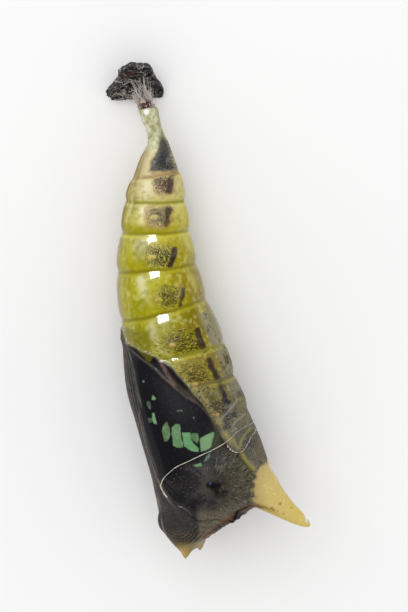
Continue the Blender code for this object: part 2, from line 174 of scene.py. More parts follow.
# Lines on wing, thorax and head: points, half width, relief (grooves below zero), colour, strength.
LINES = [
    ([(5.94, 12.46), (5.69, 11.98), (5.42, 11.58), (5.13, 11.24), (5.04, 11.06)], 0.05, 0.02, (0.6, 0.59, 0.54), 0.9),
    ([(6.4, 11.3), (6.17, 11.05), (5.95, 10.86), (5.76, 10.48)], 0.05, 0.02, (0.6, 0.58, 0.5), 0.85),
    ([(6.35, 8.78), (6.38, 9.27), (6.52, 9.75), (6.9, 10.3)], 0.06, 0.02, (0.58, 0.54, 0.33), 0.85),
    ([(5.87, 9.76), (6.11, 9.1), (6.35, 8.81)], 0.06, 0.03, (0.6, 0.56, 0.32), 0.8),
    (RIDGE, 0.1, 0.07, (0.58, 0.54, 0.26), 0.9),
    ([(0.83, 5.2), (1.58, 4.52), (2.39, 4.12), (2.9, 3.59), (3.39, 3.27), (3.9, 3.35)], 0.06, -0.06,
     (0.09, 0.08, 0.08), 0.85),
    ([(1.64, 4.44), (2.08, 4.39), (2.36, 4.28), (2.7, 3.98), (2.95, 3.7)], 0.035, 0.02, (0.58, 0.57, 0.55), 0.75),
    ([(0.42, 6.68), (1.67, 5.57), (2.4, 4.36), (3.26, 3.44)], 0.05, -0.05, (0.1, 0.09, 0.1), 0.8),
    ([(-0.1, 6.9), (1.2, 5.5), (1.7, 4.55)], 0.04, -0.04, (0.14, 0.13, 0.13), 0.7),
    ([(0.31, 3.41), (0.53, 2.34), (0.61, 1.64)], 0.05, 0.03, (0.62, 0.57, 0.48), 0.8),
    ([(-0.05, 4.1), (0.22, 3.3), (0.4, 2.3)], 0.06, -0.04, (0.16, 0.14, 0.12), 0.6),
    ([(3.61, 3.35), (4.1, 3.25), (4.6, 3.45), (5.0, 3.35)], 0.05, -0.05, (0.12, 0.11, 0.1), 0.75),
    ([(3.75, 2.9), (4.3, 2.75), (4.9, 3.05)], 0.05, -0.04, (0.16, 0.14, 0.12), 0.6),
    ([(3.69, 2.55), (3.28, 2.06), (2.9, 1.7)], 0.06, -0.04, (0.14, 0.12, 0.11), 0.7),
    ([(3.4, 2.9), (3.45, 2.3), (3.0, 1.85)], 0.05, 0.03, (0.5, 0.47, 0.41), 0.5),
]
SCAR_RIM = [(3.2, 1.5), (3.6, 1.82), (4.11, 2.22), (4.9, 2.88), (5.55, 3.42), (5.83, 3.64), (6.09, 3.91),
            (6.58, 4.2), (6.9, 4.31), (7.43, 4.29), (8.04, 4.17), (8.62, 3.86), (9.3, 3.45)]
HORN_FOOT = [(7.62, 7.42), (7.44, 6.89), (7.38, 6.16), (7.33, 5.37), (7.25, 4.56), (7.2, 3.6)]
HORN_AXIS = [(5.85, 6.42), (7.26, 5.5), (8.19, 4.78), (9.25, 4.0), (10.22, 3.36), (10.9, 2.94), (11.3, 2.7)]
HORN_TIP_PAINTED_GLINT_AND_SCAR = [  # line, half width, strength, colour
    # the first row is a painted highlight, white with a violet tint, on the horn's tip; the second a brown scar line
    ([(10.86, 3.55), (10.96, 3.38), (11.06, 3.05)], 0.05, 1.0, (0.93, 0.9, 0.95)),
    ([(10.98, 3.5), (11.06, 3.32), (11.16, 3.05)], 0.035, 0.7, (0.55, 0.45, 0.3)),
]
HORN_DOTS = [  # X, Y, size, colour
    (9.11, 4.51, 0.09, (0.33, 0.3, 0.1)),
    (8.51, 4.16, 0.1, (0.12, 0.08, 0.05)),
    (8.62, 3.98, 0.08, (0.2, 0.1, 0.05)),
    (9.91, 4.18, 0.07, (0.6, 0.52, 0.2)),
    (9.35, 3.75, 0.06, (0.5, 0.36, 0.14)),
    (8.9, 3.95, 0.06, (0.62, 0.38, 0.14)),
]
EYE = (1.15, 3.05)
TUBERCLE = (4.45, 6.26)
BROW_POINT = (2.02, 0.12, 2.05)

# Colours along the abdomen, ring number and colour: towards the belly, on the flank and on the back.
BELLY_SHADES = [
    (0, (0.75, 0.74, 0.6)), (3.4, (0.7, 0.66, 0.5)), (4.3, (0.69, 0.62, 0.44)), (5.4, (0.73, 0.67, 0.44)),
    (6.4, (0.72, 0.69, 0.34)), (7.4, (0.67, 0.64, 0.12)), (8.5, (0.65, 0.61, 0.12)), (9.5, (0.53, 0.51, 0.12)),
    (10.5, (0.5, 0.46, 0.14)), (12, (0.38, 0.35, 0.18)),
]
FLANK_SHADES = [
    (0, (0.76, 0.75, 0.6)), (3.6, (0.86, 0.83, 0.62)), (4.3, (0.8, 0.75, 0.52)), (5.4, (0.84, 0.79, 0.6)),
    (6.4, (0.83, 0.8, 0.42)), (7.4, (0.75, 0.73, 0.14)), (8.5, (0.69, 0.67, 0.06)), (9.5, (0.57, 0.56, 0.04)),
    (10.5, (0.56, 0.53, 0.16)), (12, (0.38, 0.34, 0.14)),
]
BACK_SHADES = [
    (0, (0.74, 0.73, 0.56)), (3.4, (0.74, 0.73, 0.5)), (4.3, (0.78, 0.75, 0.52)), (5.4, (0.82, 0.77, 0.54)),
    (6.4, (0.77, 0.72, 0.34)), (7.4, (0.68, 0.63, 0.14)), (8.5, (0.59, 0.51, 0.05)), (9.5, (0.5, 0.45, 0.05)),
    (10.5, (0.54, 0.47, 0.2)), (11.5, (0.43, 0.41, 0.31)), (12.5, (0.39, 0.38, 0.33)), (14, (0.36, 0.35, 0.33)),
    (16, (0.38, 0.36, 0.29)), (20, (0.38, 0.35, 0.28)),
]
BORDER_SHADES = {5: (0.64, 0.53, 0.36), 6: (0.56, 0.54, 0.06), 7: (0.56, 0.53, 0.03), 8: (0.52, 0.48, 0.03),
                 9: (0.5, 0.46, 0.03), 10: (0.52, 0.51, 0.14), 11: (0.44, 0.4, 0.24)}

# Spacing of the remeshed pieces' points, in mm, and how often each is smoothed.
SKIN_VOXEL, SKIN_ROUNDS = 0.108, 14
PAD_VOXEL, PAD_ROUNDS = 0.07, 6
CHIP_VOXEL, CHIP_ROUNDS = 0.045, 1
BLOTCH_SIZE, MOTTLE_SIZE, CRUMB_SIZE = 1.1, 0.45, 0.22  # of the three noises under every marking
BROW_DROP = 0.25  # how far below its CAD place the left brow point hangs
WAY_TO_VIEWER = (0.0, 0.17, 0.985)  # from the object as it lies
BENEATH = -9.0  # a distance to the windows that no point reaches

# The bark chip's own frame: X across it, Y up its face and Z out of it.
CHIP_FOOT = (-4.438, 15.578, 0.071)
CHIP_YAW = math.radians(9.0)
CHIP_SLOPE = math.radians(50.0)
CHIP = Matrix.Translation(CHIP_FOOT) @ Matrix.Rotation(CHIP_YAW, 4, "Z") @ Matrix.Rotation(CHIP_SLOPE, 4, "X")

LOWEST_FIBRE = 0.02  # above the floor
STRAND_RADIUS = 0.055
STRAND_LIFT, KNOT_LIFT = 0.12, 0.05
STRAND_ROUTE = [(12.85, -62), (12.65, -45), (12.52, -26), (12.5, -7), (12.52, 18), (12.63, 34), (12.85, 48),
                (13.05, 63), (13.2, 76), (13.38, 90), (13.59, 105), (13.84, 116), (14.21, 128), (14.45, 132),
                (14.75, 130.5), (15.0, 126)]
STRAND_FIBRES = 4
LOOP_ROUTE = [(12.76, 1), (12.9, 18), (13.1, 28), (13.31, 37), (13.33, 45), (13.22, 49.5), (13.06, 51.5)]


# ---- small tools ----

def linear(shade):
    """A screen colour as the linear one that shaders and attributes take."""
    return tuple(c / 12.92 if c <= 0.04045 else ((c + 0.055) / 1.055) ** 2.4 for c in shade)


def ease(x, low, high):
    t = np.clip((np.asarray(x, float) - low) / (high - low), 0.0, 1.0)
    return t * t * (3.0 - 2.0 * t)


def span(x, low, high, high_again, low_again):
    """Eases up to 1, holds, and eases back down."""
    return ease(x, low, high) * (1 - ease(x, high_again, low_again))


def hump(x, middle, half):
    return np.exp(-(((x - middle) / half) ** 2))


def outline_distance(x, y, outline):
    """Signed distance to a closed outline, above zero inside it."""
    nearest, inside = np.full(len(x), 1e9), np.zeros(len(x), bool)
    for (ax, ay), (bx, by) in zip(outline, outline[1:] + outline[:1]):
        dx, dy = bx - ax, by - ay
        t = np.clip(((x - ax) * dx + (y - ay) * dy) / (dx * dx + dy * dy + 1e-12), 0.0, 1.0)
        nearest = np.minimum(nearest, np.hypot(x - ax - t * dx, y - ay - t * dy))
        slope = dx / (dy if abs(dy) > 1e-9 else 1e-9)
        inside ^= ((ay > y) != (by > y)) & (x < ax + slope * (y - ay))
    return np.where(inside, nearest, -nearest)


def line_distance(x, y, line):
    """Distance to an open line, and how far along it the nearest point is, 0 to 1."""
    nearest, share = np.full(len(x), 1e9), np.zeros(len(x))
    steps = len(line) - 1
    for number, ((ax, ay), (bx, by)) in enumerate(zip(line, line[1:])):
        dx, dy = bx - ax, by - ay
        t = np.clip(((x - ax) * dx + (y - ay) * dy) / (dx * dx + dy * dy + 1e-12), 0.0, 1.0)
        d = np.hypot(x - ax - t * dx, y - ay - t * dy)
        share = np.where(d < nearest, (number + t) / steps, share)
        nearest = np.minimum(nearest, d)
    return nearest, share


def lattice_noise(points, size, seed):
    """Smooth noise from -1 to 1 over points in mm, its lumps about size across."""
    table = np.random.default_rng(seed).uniform(-1.0, 1.0, (32, 32, 32))
    q = np.asarray(points, float) / size + 1000.0
    cell = np.floor(q).astype(int)
    t = q - cell
    t = t * t * (3.0 - 2.0 * t)
    total = np.zeros(len(q))
    for i in (0, 1):
        for j in (0, 1):
            for k in (0, 1):
                weight = (
                    (t[:, 0] if i else 1 - t[:, 0]) * (t[:, 1] if j else 1 - t[:, 1]) * (t[:, 2] if k else 1
                                                                                         - t[:, 2])
                )
                total += weight * table[(cell[:, 0] + i) % 32, (cell[:, 1] + j) % 32, (cell[:, 2] + k) % 32]
    return total


def catmull_rom(table, at):
    """Rows of a table between its whole-numbered ones, on a smooth curve."""
    at = np.clip(np.asarray(at, float), 0.0, len(table) - 1.0)
    i = np.minimum(at.astype(int), len(table) - 2)
    t = (at - i)[:, None]
    p0, p1 = table[np.maximum(i - 1, 0)], table[i]
    p2, p3 = table[i + 1], table[np.minimum(i + 2, len(table) - 1)]
    return 0.5 * (2 * p1 + (p2 - p0) * t + (2 * p0 - 5 * p1 + 4 * p2 - p3) * t**2 + (3 * p1 - p0 - 3 * p2 + p3)
                  * t**3)


def body_points(at, angle, lift):
    """Points over the body: ring number, degrees from the back round the right flank, height over the skin."""
    at, angle = np.asarray(at, float), np.radians(np.asarray(angle, float))
    along, centre, tilt, deep, wide, sag = catmull_rom(RINGS, at).T
    tilt = np.radians(tilt)
    egg = 0.16 * span(at, 9, 13, 15.5, 18)
    out = (deep + lift) * np.cos(angle)
    return np.stack([
        centre + out * np.cos(tilt),
        along + out * np.sin(tilt) - sag * np.sin(angle) ** 2,
        (wide + lift) * np.sin(angle) * (1 - egg * np.cos(angle)),
    ], axis=1)


def carried(points, matrix):
    """Points taken through a 4 x 4 matrix."""
    matrix = np.array(matrix)
    return np.asarray(points, float) @ matrix[:3, :3].T + matrix[:3, 3]


def ring_places(points):
    """Ring number and degrees from the back of points on the body."""
    x, y, z = points.T
    numbers = np.linspace(0, len(RINGS) - 1, 1601)
    rows = catmull_rom(RINGS, numbers)
    at = np.interp(-y, -rows[:, 0], numbers)
    for _ in range(10):
        _, centre, tilt, deep, wide, sag = catmull_rom(RINGS, at).T
        tilt = np.radians(tilt)
        across, side = (x - centre) / (deep * np.cos(tilt)), z / wide
        level = y - (x - centre) * np.tan(tilt) + sag * side**2 / (across**2 + side**2 + 1e-9)
        at = np.interp(-level, -rows[:, 0], numbers)
    return at, np.degrees(np.arctan2(np.abs(side), across))


def shade_along(shades, at):
    stops = np.array([linear(shade) for _, shade in shades])
    return np.stack([np.interp(at, [n for n, _ in shades], stops[:, c]) for c in range(3)], axis=1)


def select_only(piece):
    if bpy.context.object and bpy.context.object.mode != "OBJECT":
        bpy.ops.object.mode_set(mode="OBJECT")
    bpy.ops.object.select_all(action="DESELECT")
    piece.select_set(True)
    bpy.context.view_layer.objects.active = piece


def node_copy(node, name):
    """A merged copy of a CAD node's mesh, as a new piece."""
    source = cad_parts[node]
    piece = bpy.data.objects.new(name, source.data.copy())
    piece.data.materials.clear()
    bpy.context.scene.collection.objects.link(piece)
    select_only(piece)
    bpy.ops.object.mode_set(mode="EDIT")
    bpy.ops.mesh.select_all(action="SELECT")
    bpy.ops.mesh.remove_doubles(threshold=0.0000005)
    bpy.ops.object.mode_set(mode="OBJECT")
    return piece


def apply_modifier(piece, kind, **settings):
    select_only(piece)
    modifier = piece.modifiers.new(kind.title(), kind)
    for key, value in settings.items():
        setattr(modifier, key, value)
    bpy.ops.object.modifier_apply(modifier=modifier.name)


def resculpt(piece, turn, voxel, rounds):
    """Remeshes a piece evenly in the frame that turn leads out of, in mm, and smooths it."""
    piece.data.transform(turn.inverted() @ Matrix.Scale(1000.0, 4))
    apply_modifier(piece, "REMESH", mode="VOXEL", voxel_size=voxel, use_smooth_shade=True)
    apply_modifier(piece, "SMOOTH", factor=0.5, iterations=rounds)
    mesh = piece.data
    points, normals = np.empty(len(mesh.vertices) * 3), np.empty(len(mesh.vertices) * 3)
    mesh.vertices.foreach_get("co", points)
    mesh.vertex_normals.foreach_get("vector", normals)
    return points.reshape(-1, 3), normals.reshape(-1, 3)


def put_back(piece, points, turn):
    """Sets a resculpted piece's points, in its own mm frame, at their place over the floor."""
    placed = carried(points, turn) * MM
    placed[:, 2] = np.maximum(placed[:, 2], 0.0)
    piece.data.vertices.foreach_set("co", placed.astype(np.float32).ravel())
    piece.data.update()
    select_only(piece)
    bpy.ops.object.shade_smooth()


def store(mesh, name, kind, values):
    attribute = mesh.attributes.new(name, kind, "POINT")
    field = {"FLOAT": "value", "FLOAT_VECTOR": "vector", "FLOAT_COLOR": "color"}[kind]
    attribute.data.foreach_set(field, np.ascontiguousarray(values, dtype=np.float32).ravel())


def store_colour(mesh, name, colour):
    store(mesh, name, "FLOAT_COLOR", np.c_[np.clip(colour, 0, 1), np.ones(len(colour))])


def new_piece(name, verts, faces):
    mesh = bpy.data.meshes.new(name)
    mesh.from_pydata([tuple(v) for v in verts], [], faces)
    mesh.update()
    piece = bpy.data.objects.new(name, mesh)
    bpy.context.scene.collection.objects.link(piece)
    for polygon in mesh.polygons:
        polygon.use_smooth = True
    return piece


def tube(path, radii, sides, verts, faces):
    """Adds a closed tube along a path to the lists of points and faces."""
    path, start = np.asarray(path, float), len(verts)
    ways = np.gradient(path, axis=0)
    ways /= np.linalg.norm(ways, axis=1)[:, None] + 1e-12
    side = np.cross(ways[0], (0.31, 0.17, 0.93))
    for way, centre, radius in zip(ways, path, radii):
        side = side - way * (side @ way)
        side /= np.linalg.norm(side) + 1e-12
        other = np.cross(way, side)
        for k in range(sides):
            a = 2 * math.pi * k / sides
            verts.append(centre + (side * math.cos(a) + other * math.sin(a)) * radius)
    for ring in range(len(path) - 1):
        for k in range(sides):
            a, b = start + ring * sides + k, start + ring * sides + (k + 1) % sides
            faces.append((a, b, b + sides, a + sides))
    last = start + (len(path) - 1) * sides
    faces.append(tuple(start + k for k in reversed(range(sides))))
    faces.append(tuple(last + k for k in range(sides)))


# ---- shader building ----

class Nodes:
    """Short ways to lay out a node tree."""

    def __init__(self, tree):
        self.tree = tree
        tree.nodes.clear()

    def add(self, kind, **settings):
        node = self.tree.nodes.new(kind)
        for key, value in settings.items():
            setattr(node, key, value)
        return node

    def join(self, source, target):
        self.tree.links.new(source, target)

    def feed(self, socket, value):
        if isinstance(value, bpy.types.NodeSocket):
            self.join(value, socket)
        else:
            socket.default_value = value

    def math(self, operation, a, b=0.0, clamp=False):
        node = self.add("ShaderNodeMath", operation=operation, use_clamp=clamp)
        self.feed(node.inputs[0], a)
        self.feed(node.inputs[1], b)
        return node.outputs[0]

    def ease(self, value, low, high, to_low=0.0, to_high=1.0):
        node = self.add("ShaderNodeMapRange", interpolation_type="SMOOTHSTEP")
        self.feed(node.inputs["Value"], value)
        for key, setting in zip(("From Min", "From Max", "To Min", "To Max"), (low, high, to_low, to_high)):
            self.feed(node.inputs[key], setting)
        return node.outputs["Result"]

    def mix(self, factor, a, b):
        node = self.add("ShaderNodeMix", data_type="RGBA")
        self.feed(node.inputs[0], factor)
        self.feed(node.inputs[6], a)
        self.feed(node.inputs[7], b)
        return node.outputs[2]

    def attribute(self, name):
        return self.add("ShaderNodeAttribute", attribute_name=name)

    def noise(self, vector, scale, detail=2.0, rough=0.5):
        node = self.add("ShaderNodeTexNoise")
        self.join(vector, node.inputs["Vector"])
        node.inputs["Scale"].default_value = scale
        node.inputs["Detail"].default_value = detail
        node.inputs["Roughness"].default_value = rough
        return node.outputs["Fac"]

    def place_mm(self):
        """Object coordinates in millimetres."""
        node = self.add("ShaderNodeVectorMath", operation="SCALE")
        self.join(self.add("ShaderNodeTexCoord").outputs["Object"], node.inputs[0])
        node.inputs["Scale"].default_value = 1000.0
        return node.outputs[0]


def new_group(name, inputs, outputs):
    """An empty shader node group with its sockets, and the node that holds each end."""
    tree = bpy.data.node_groups.new(name, "ShaderNodeTree")
    for label, kind, value in inputs:
        socket = tree.interface.new_socket(label, in_out="INPUT", socket_type=kind)
        if value is not None:
            socket.default_value = value
    for label, kind in outputs:
        tree.interface.new_socket(label, in_out="OUTPUT", socket_type=kind)
    nodes = Nodes(tree)
    return tree, nodes, nodes.add("NodeGroupInput"), nodes.add("NodeGroupOutput")


def speckle_group():
    """Specks of one colour over another: a streaky noise cut off at a density that varies over the surface."""
    if "Speckle" in bpy.data.node_groups:
        return bpy.data.node_groups["Speckle"]
    tree, n, given, out = new_group("Speckle", [
        ("Base", "NodeSocketColor", None), ("Speck", "NodeSocketColor", None), ("Density", "NodeSocketFloat", 0.3),
        ("Grain", "NodeSocketVector", None), ("Fineness", "NodeSocketFloat", 5.0), ("Softness", "NodeSocketFloat",
                                                                                    0.06),
    ], [("Color", "NodeSocketColor"), ("Mask", "NodeSocketFloat")])
    noise = n.add("ShaderNodeTexNoise")
    n.join(given.outputs["Grain"], noise.inputs["Vector"])
    n.join(given.outputs["Fineness"], noise.inputs["Scale"])
    noise.inputs["Detail"].default_value = 3.0
    noise.inputs["Roughness"].default_value = 0.62
    # noise values bunch round one half, so the density is spread over their usual range
    level = n.ease(given.outputs["Density"], 0.0, 1.0, 0.26, 0.74)
    gap = n.math("SUBTRACT", level, noise.outputs["Fac"])
    soft = n.math("DIVIDE", gap, given.outputs["Softness"])
    mask = n.math("ADD", soft, 0.5, clamp=True)
    present = n.ease(given.outputs["Density"], 0.0, 0.06)
    mask = n.math("MULTIPLY", mask, present)
    n.join(n.mix(mask, given.outputs["Base"], given.outputs["Speck"]), out.inputs["Color"])
    n.join(mask, out.inputs["Mask"])
    return tree


def use_group(n, tree, **values):
    node = n.add("ShaderNodeGroup")
    node.node_tree = tree
    for key, value in values.items():
        n.feed(node.inputs[key], value)
    return node


def new_material(name):
    material = bpy.data.materials.new(name)
    material.use_nodes = True
    n = Nodes(material.node_tree)
    shader, out = n.add("ShaderNodeBsdfPrincipled"), n.add("ShaderNodeOutputMaterial")
    n.join(shader.outputs[0], out.inputs["Surface"])
    return material, n, shader


def set_bump(n, shader, height, strength, distance):
    bump = n.add("ShaderNodeBump")
    bump.inputs["Strength"].default_value = strength
    bump.inputs["Distance"].default_value = distance
    n.join(height, bump.inputs["Height"])
    n.join(bump.outputs[0], shader.inputs["Normal"])


# ---- settings ----

def colour_setting(name, description, shade):
    return FloatVectorProperty(name=name, description=description, subtype="COLOR", size=3, default=linear(shade),
                               min=0.0, max=1.0)


class ChrysalisSettings(bpy.types.PropertyGroup):
    skin_voxel: FloatProperty(name="Skin detail", description="Spacing of the skin's points, in mm",
                              default=SKIN_VOXEL, min=0.08, max=0.5)
    wing_ink: colour_setting("Wing", "Colour of the wing case", (0.08, 0.075, 0.1))
    horn_cream: colour_setting("Horn", "Colour of the horn", (0.815, 0.725, 0.445))
    sap_green: colour_setting("Sap", "Green that shows at each segment's lower edge", (0.65, 0.62, 0.02))
    border_depth: FloatProperty(name="Border depth", description="Depth of the creases between segments, in mm",
                                default=0.03, min=0.0, max=0.3)
    hooks: IntProperty(name="Hooks", description="Hooks at the stalk's tip", default=46, min=1, max=200)
    silk_fibres: IntProperty(name="Silk fibres", description="Fibres in the silk pad", default=180, min=10, max=1000)
    silk_white: colour_setting("Silk", "Colour of the silk", (0.88, 0.84, 0.8))
    bark_black: colour_setting("Bark", "Colour of the chip of bark", (0.1, 0.09, 0.09))


# ---- the chrysalis's skin ----

class SkinPaint:
    """Relief and colours worked out point by point over the skin."""

    def __init__(self, points, normals, settings):
        self.points, self.settings = points, settings
        self.upward = normals @ (np.array(LYING)[:3, :3].T @ np.array(WAY_TO_VIEWER))
        self.x, self.y, self.z = points.T
        self.at, self.angle = ring_places(points)
        self.step = self.at - np.floor(self.at)  # 0 at a segment's tail side, 1 at its head side
        self.relief, self.gloss = np.zeros(len(points)), np.zeros(len(points))
        self.tone = np.zeros((len(points), 3))
        self.speck = np.zeros((len(points), 4))
        self.fleck = np.zeros((len(points), 4))
        self.blotch = lattice_noise(points, BLOTCH_SIZE, 3)
        self.mottle = lattice_noise(points, MOTTLE_SIZE, 4)
        self.crumb = lattice_noise(points, CRUMB_SIZE, 5)
        self.wing = self.inside(WING_RIM + RIDGE + WING_FAR_SIDE)
        self.bare = ease(-self.wing, 0.0, 0.05) * ease(self.at, 3.2, 3.8)
        self.stalk = 1.0 - ease(self.at, 3.1, 3.7)
        self.horn = self.horn_share()
        self.spot, self.spot_tone = np.full(len(points), BENEATH), np.zeros((len(points), 3))

    def inside(self, outline):
        """Signed distance to an outline on the flank, above zero inside it."""
        return outline_distance(self.x, self.y, outline)

    def line(self, points):
        """Distance to a line on the flank, and how far along it the nearest place is."""
        return line_distance(self.x, self.y, points)

    def blob(self, x, y, wide, tall):
        """A soft round mark, 1 at its middle."""
        return hump(np.hypot((self.x - x) / wide, (self.y - y) / tall), 0.0, 1.0)

    def thin(self, share):
        """Takes a share of the specks and flecks away."""
        for layer in (self.speck, self.fleck):
            layer[:, 3] *= 1.0 - share

    def horn_share(self):
        """1 on the horn, 0 off it, with a ragged edge at its foot."""
        foot = self.inside(HORN_FOOT + [(12.5, 1.5), (12.5, 9.0)])
        # drawn-out streaks that run on to the horn's axis
        grain = np.stack([0.3 * self.x - 0.1 * self.y, 1.1 * self.y + 0.4 * self.x, self.z], axis=1)
        streaks = lattice_noise(grain, CRUMB_SIZE, 43)
        return ease(foot + 0.08 * self.mottle + 0.2 * streaks, -0.14, 0.26)

    def lay(self, mask, shade):
        """Blends a screen colour, or an array that is already linear, over the skin where the mask is."""
        self.tone += (np.asarray(linear(shade) if isinstance(shade, tuple) else shade) - self.tone) * mask[:, None]

    def dot(self, layer, mask, shade, density):
        """Sets a speck or fleck layer's colour and density where the mask is."""
        layer[:, :3] += (np.asarray(linear(shade)) - layer[:, :3]) * (mask > 0.02)[:, None]
        layer[:, 3] += (density - layer[:, 3]) * mask

    def back_and_flanks(self):
        at, angle, step, blotch, mottle, bare = self.at, self.angle, self.step, self.blotch, self.mottle, self.bare
        belly, flank, back = (shade_along(s, at) for s in (BELLY_SHADES, FLANK_SHADES, BACK_SHADES))
        wander = 9.0 * blotch
        to_belly = ease(angle + wander, 96, 122)[:, None]
        to_back = 1.0 - ease(angle + wander, 44, 66)[:, None]
        self.tone[:] = flank + (belly - flank) * to_belly
        self.tone += (back - self.tone) * to_back
        # the pale column beside the shields: cream skin, and painted highlight where it brightens below each border,
        # on each segment's shoulder
        d, _ = self.line(CREAM_AND_HIGHLIGHT_COLUMN)
        pale = hump(d + 0.1 * mottle, 0.0, 0.36 + 0.14 * hump(at, 7.3, 0.4)) * (0.3 + 0.7 * hump(step, 0.25, 0.28))
        pale *= 0.45 + 0.55 * ease(at, 4.95, 5.3)
        pale *= 1.0 - 0.55 * ease(at, 7.8, 9.2)
        self.lay(pale * 0.85, (0.95, 0.93, 0.8))
        # haze: a painted highlight, a soft pale glow on A6 near its border with A7
        haze = self.blob(-0.95, 23.95, 0.42, 0.5)
        self.lay(haze * 0.8, (0.98, 0.97, 0.88))
        # sap green gathers on both sides of each border
        sap = ease(step + 0.06 * blotch, 0.62, 0.84) * span(at, 5.7, 6.5, 9.9, 10.4)
        sap = np.maximum(sap, 0.8 * ease(0.17 - step + 0.04 * blotch, 0.0, 0.08) * ease(at, 7.0, 7.6)
                         * (1 - ease(at, 9.9, 10.4)))
        sap *= ease(angle, 20, 50) * (1.0 - 0.85 * ease(angle, 134, 156))
        self.lay(sap * 0.95, np.array(tuple(self.settings.sap_green)))
        green = ease(blotch + 0.6 * mottle, 0.0, 0.6) * span(at, 6.4, 7.4, 9.8, 10.4)
        self.lay(green * 0.7 * ease(angle, 58, 88) * (1 - 0.5 * ease(angle, 140, 165)), (0.58, 0.57, 0.03))
        milk = ease(-blotch + 0.5 * mottle, 0.25, 0.9) * span(at, 5.0, 6.0, 9.9, 10.5)
        self.lay(milk * 0.45 * ease(angle, 78, 104) * (1 - sap), (0.8, 0.79, 0.38))
        # pale dots and darker gaps between them, finer than the eye counts
        dotted = bare * ease(at, 4.4, 5.4) * (1 - 0.5 * ease(at, 11.5, 12.5)) * (1 - 0.6 * sap)
        self.lay(dotted * ease(self.crumb + 0.35 * blotch, 0.18, 0.6) * 0.42, (0.83, 0.81, 0.5))
        self.lay(dotted * ease(-self.crumb, 0.15, 0.6) * 0.36, (0.46, 0.43, 0.06))
        # the back turns browner at its edge
        edge = 1.0 - ease(angle, 6, 26)
        self.lay(edge * 0.45 * ease(at, 6.5, 8.5), (0.48, 0.42, 0.2))
        belly_edge = ease(angle + 5 * mottle, 128, 150)
        self.lay(belly_edge * 0.85 * ease(at, 3.3, 4.0), (0.53, 0.45, 0.2))
        # fine darker and paler crumbs all over the bare skin
        self.dot(self.speck, bare, (0.46, 0.42, 0.1), 0.22 + 0.08 * blotch)
        self.dot(self.fleck, bare, (0.88, 0.86, 0.56), 0.19 + 0.1 * mottle)
        tail = bare * (1.0 - ease(at, 5.7, 6.3))
        self.dot(self.speck, tail, (0.58, 0.49, 0.34), 0.26 + 0.1 * mottle)

    def wrinkled_zone(self):
        mottle, bare = self.mottle, self.bare
        zone = ease(self.inside(PALE_WRINKLES) + 0.1 * mottle, -0.25, 0.2) * bare
        moss = ease(0.25 - self.x + 0.3 * self.blotch, 0.0, 0.5) * ease(17.9 - self.y, 0.0, 0.5) * bare
        self.lay(moss * 0.7, (0.46, 0.44, 0.08))
        self.lay(zone * 0.6 * (0.6 + 0.4 * mottle), (0.8, 0.78, 0.48))
        self.dot(self.speck, zone, (0.4, 0.38, 0.1), 0.42)
        # pale streaks near the back: painted reflections of a strip light
        for line in PAINTED_STRIP_REFLECTIONS:
            d, share = self.line(line)
            self.lay(hump(d, 0.0, 0.11) * np.sin(np.pi * np.clip(share, 0.02, 0.98)) ** 0.5 * 0.5, (0.82, 0.8, 0.4))
        d, _ = self.line(BACK_LINE)
        band = hump(d + 0.05 * mottle, 0.0, 0.2) * bare
        self.lay(band * 0.7, (0.55, 0.54, 0.47))
        dash = hump(d, 0.1, 0.09) * ease(self.crumb + 0.7 * mottle, 0.1, 0.5) * bare
        self.lay(dash * 0.85, (0.2, 0.19, 0.15))
        side = self.x - np.interp(-self.y, [-p[1] for p in BACK_LINE], [p[0] for p in BACK_LINE])
        rear = ease(side, 0.1, 0.5) * span(self.at, 9.2, 9.9, 11.8, 12.4)
        self.lay(rear * bare * 0.65, (0.46, 0.44, 0.36))
        self.dot(self.speck, rear * bare, (0.24, 0.23, 0.18), 0.42)

    def shields(self):
        y, mottle, crumb = self.y, self.mottle, self.crumb
        for number, (outline, between, specks, density) in enumerate(SHIELDS):
            d = self.inside(outline)
            bare = self.bare if number else 1.0
            inside = ease(d + 0.1 * mottle + 0.06 * crumb, -0.1, 0.16) * bare
            reach = ease(d + 0.12 * mottle, -0.26 if number else -0.08, 0.14) * bare
            rim = hump(d + 0.05 * mottle, -0.06, 0.12) * self.bare
            self.lay(rim * (0.5 if 0 < number < 3 else 0.15), (0.7, 0.52, 0.3))
            self.lay(inside * 0.8, between)
            self.dot(self.speck, reach, specks, density + 0.09 * self.blotch + 0.12 * ease(d, 0.1, 0.6))
            self.dot(self.fleck, inside, tuple(min(1.0, c * 1.3 + 0.04) for c in between), 0.34)
            # shallow pits between fine raised lines
            self.relief += inside * 0.014 * crumb
        dusk = self.blob(4.35, 12.45, 0.6, 0.6) * self.bare
        self.lay(dusk * 0.7, (0.27, 0.23, 0.09))
        for line, half, strength in SHIELD_EDGES:
            d, _ = self.line(line)
            solid = ease(half + 0.08 * mottle + 0.07 * crumb + 0.04 * self.blotch - d, -0.04, 0.08) * self.bare
            self.lay(solid * strength, (0.15, 0.115, 0.13))
            self.fleck[:, 3] *= 1.0 - 0.6 * solid
        # blue-black tip of the last one, with painted highlights: pale dashes on its back edge and pale glints over
        # it
        d = self.inside(SHIELDS[0][0])
        core = hump(np.hypot(self.x - 0.1, (y - 30.3) * 0.6), 0.0, 0.5)
        self.lay(core * ease(d, 0.0, 0.1) * 0.75, (0.12, 0.16, 0.22))
        edge = hump(d, 0.06, 0.07) * ease(self.x - 0.1, 0.0, 0.3)
        self.lay(edge * ease(np.sin(y * 26.0 + 2 * mottle), 0.0, 0.6) * 0.85, (0.8, 0.76, 0.66))
        glints = ease(crumb + 0.4 * mottle, 0.25, 0.5) * ease(d, 0.0, 0.1) * ease(31.2 - y, 0.0, 1.0)
        self.lay(glints * 0.45, (0.66, 0.64, 0.62))
        self.lay(ease(d, -0.05, 0.1) * ease(29.9 - y + 0.2 * mottle, 0.0, 0.4) * 0.4, (0.3, 0.24, 0.22))

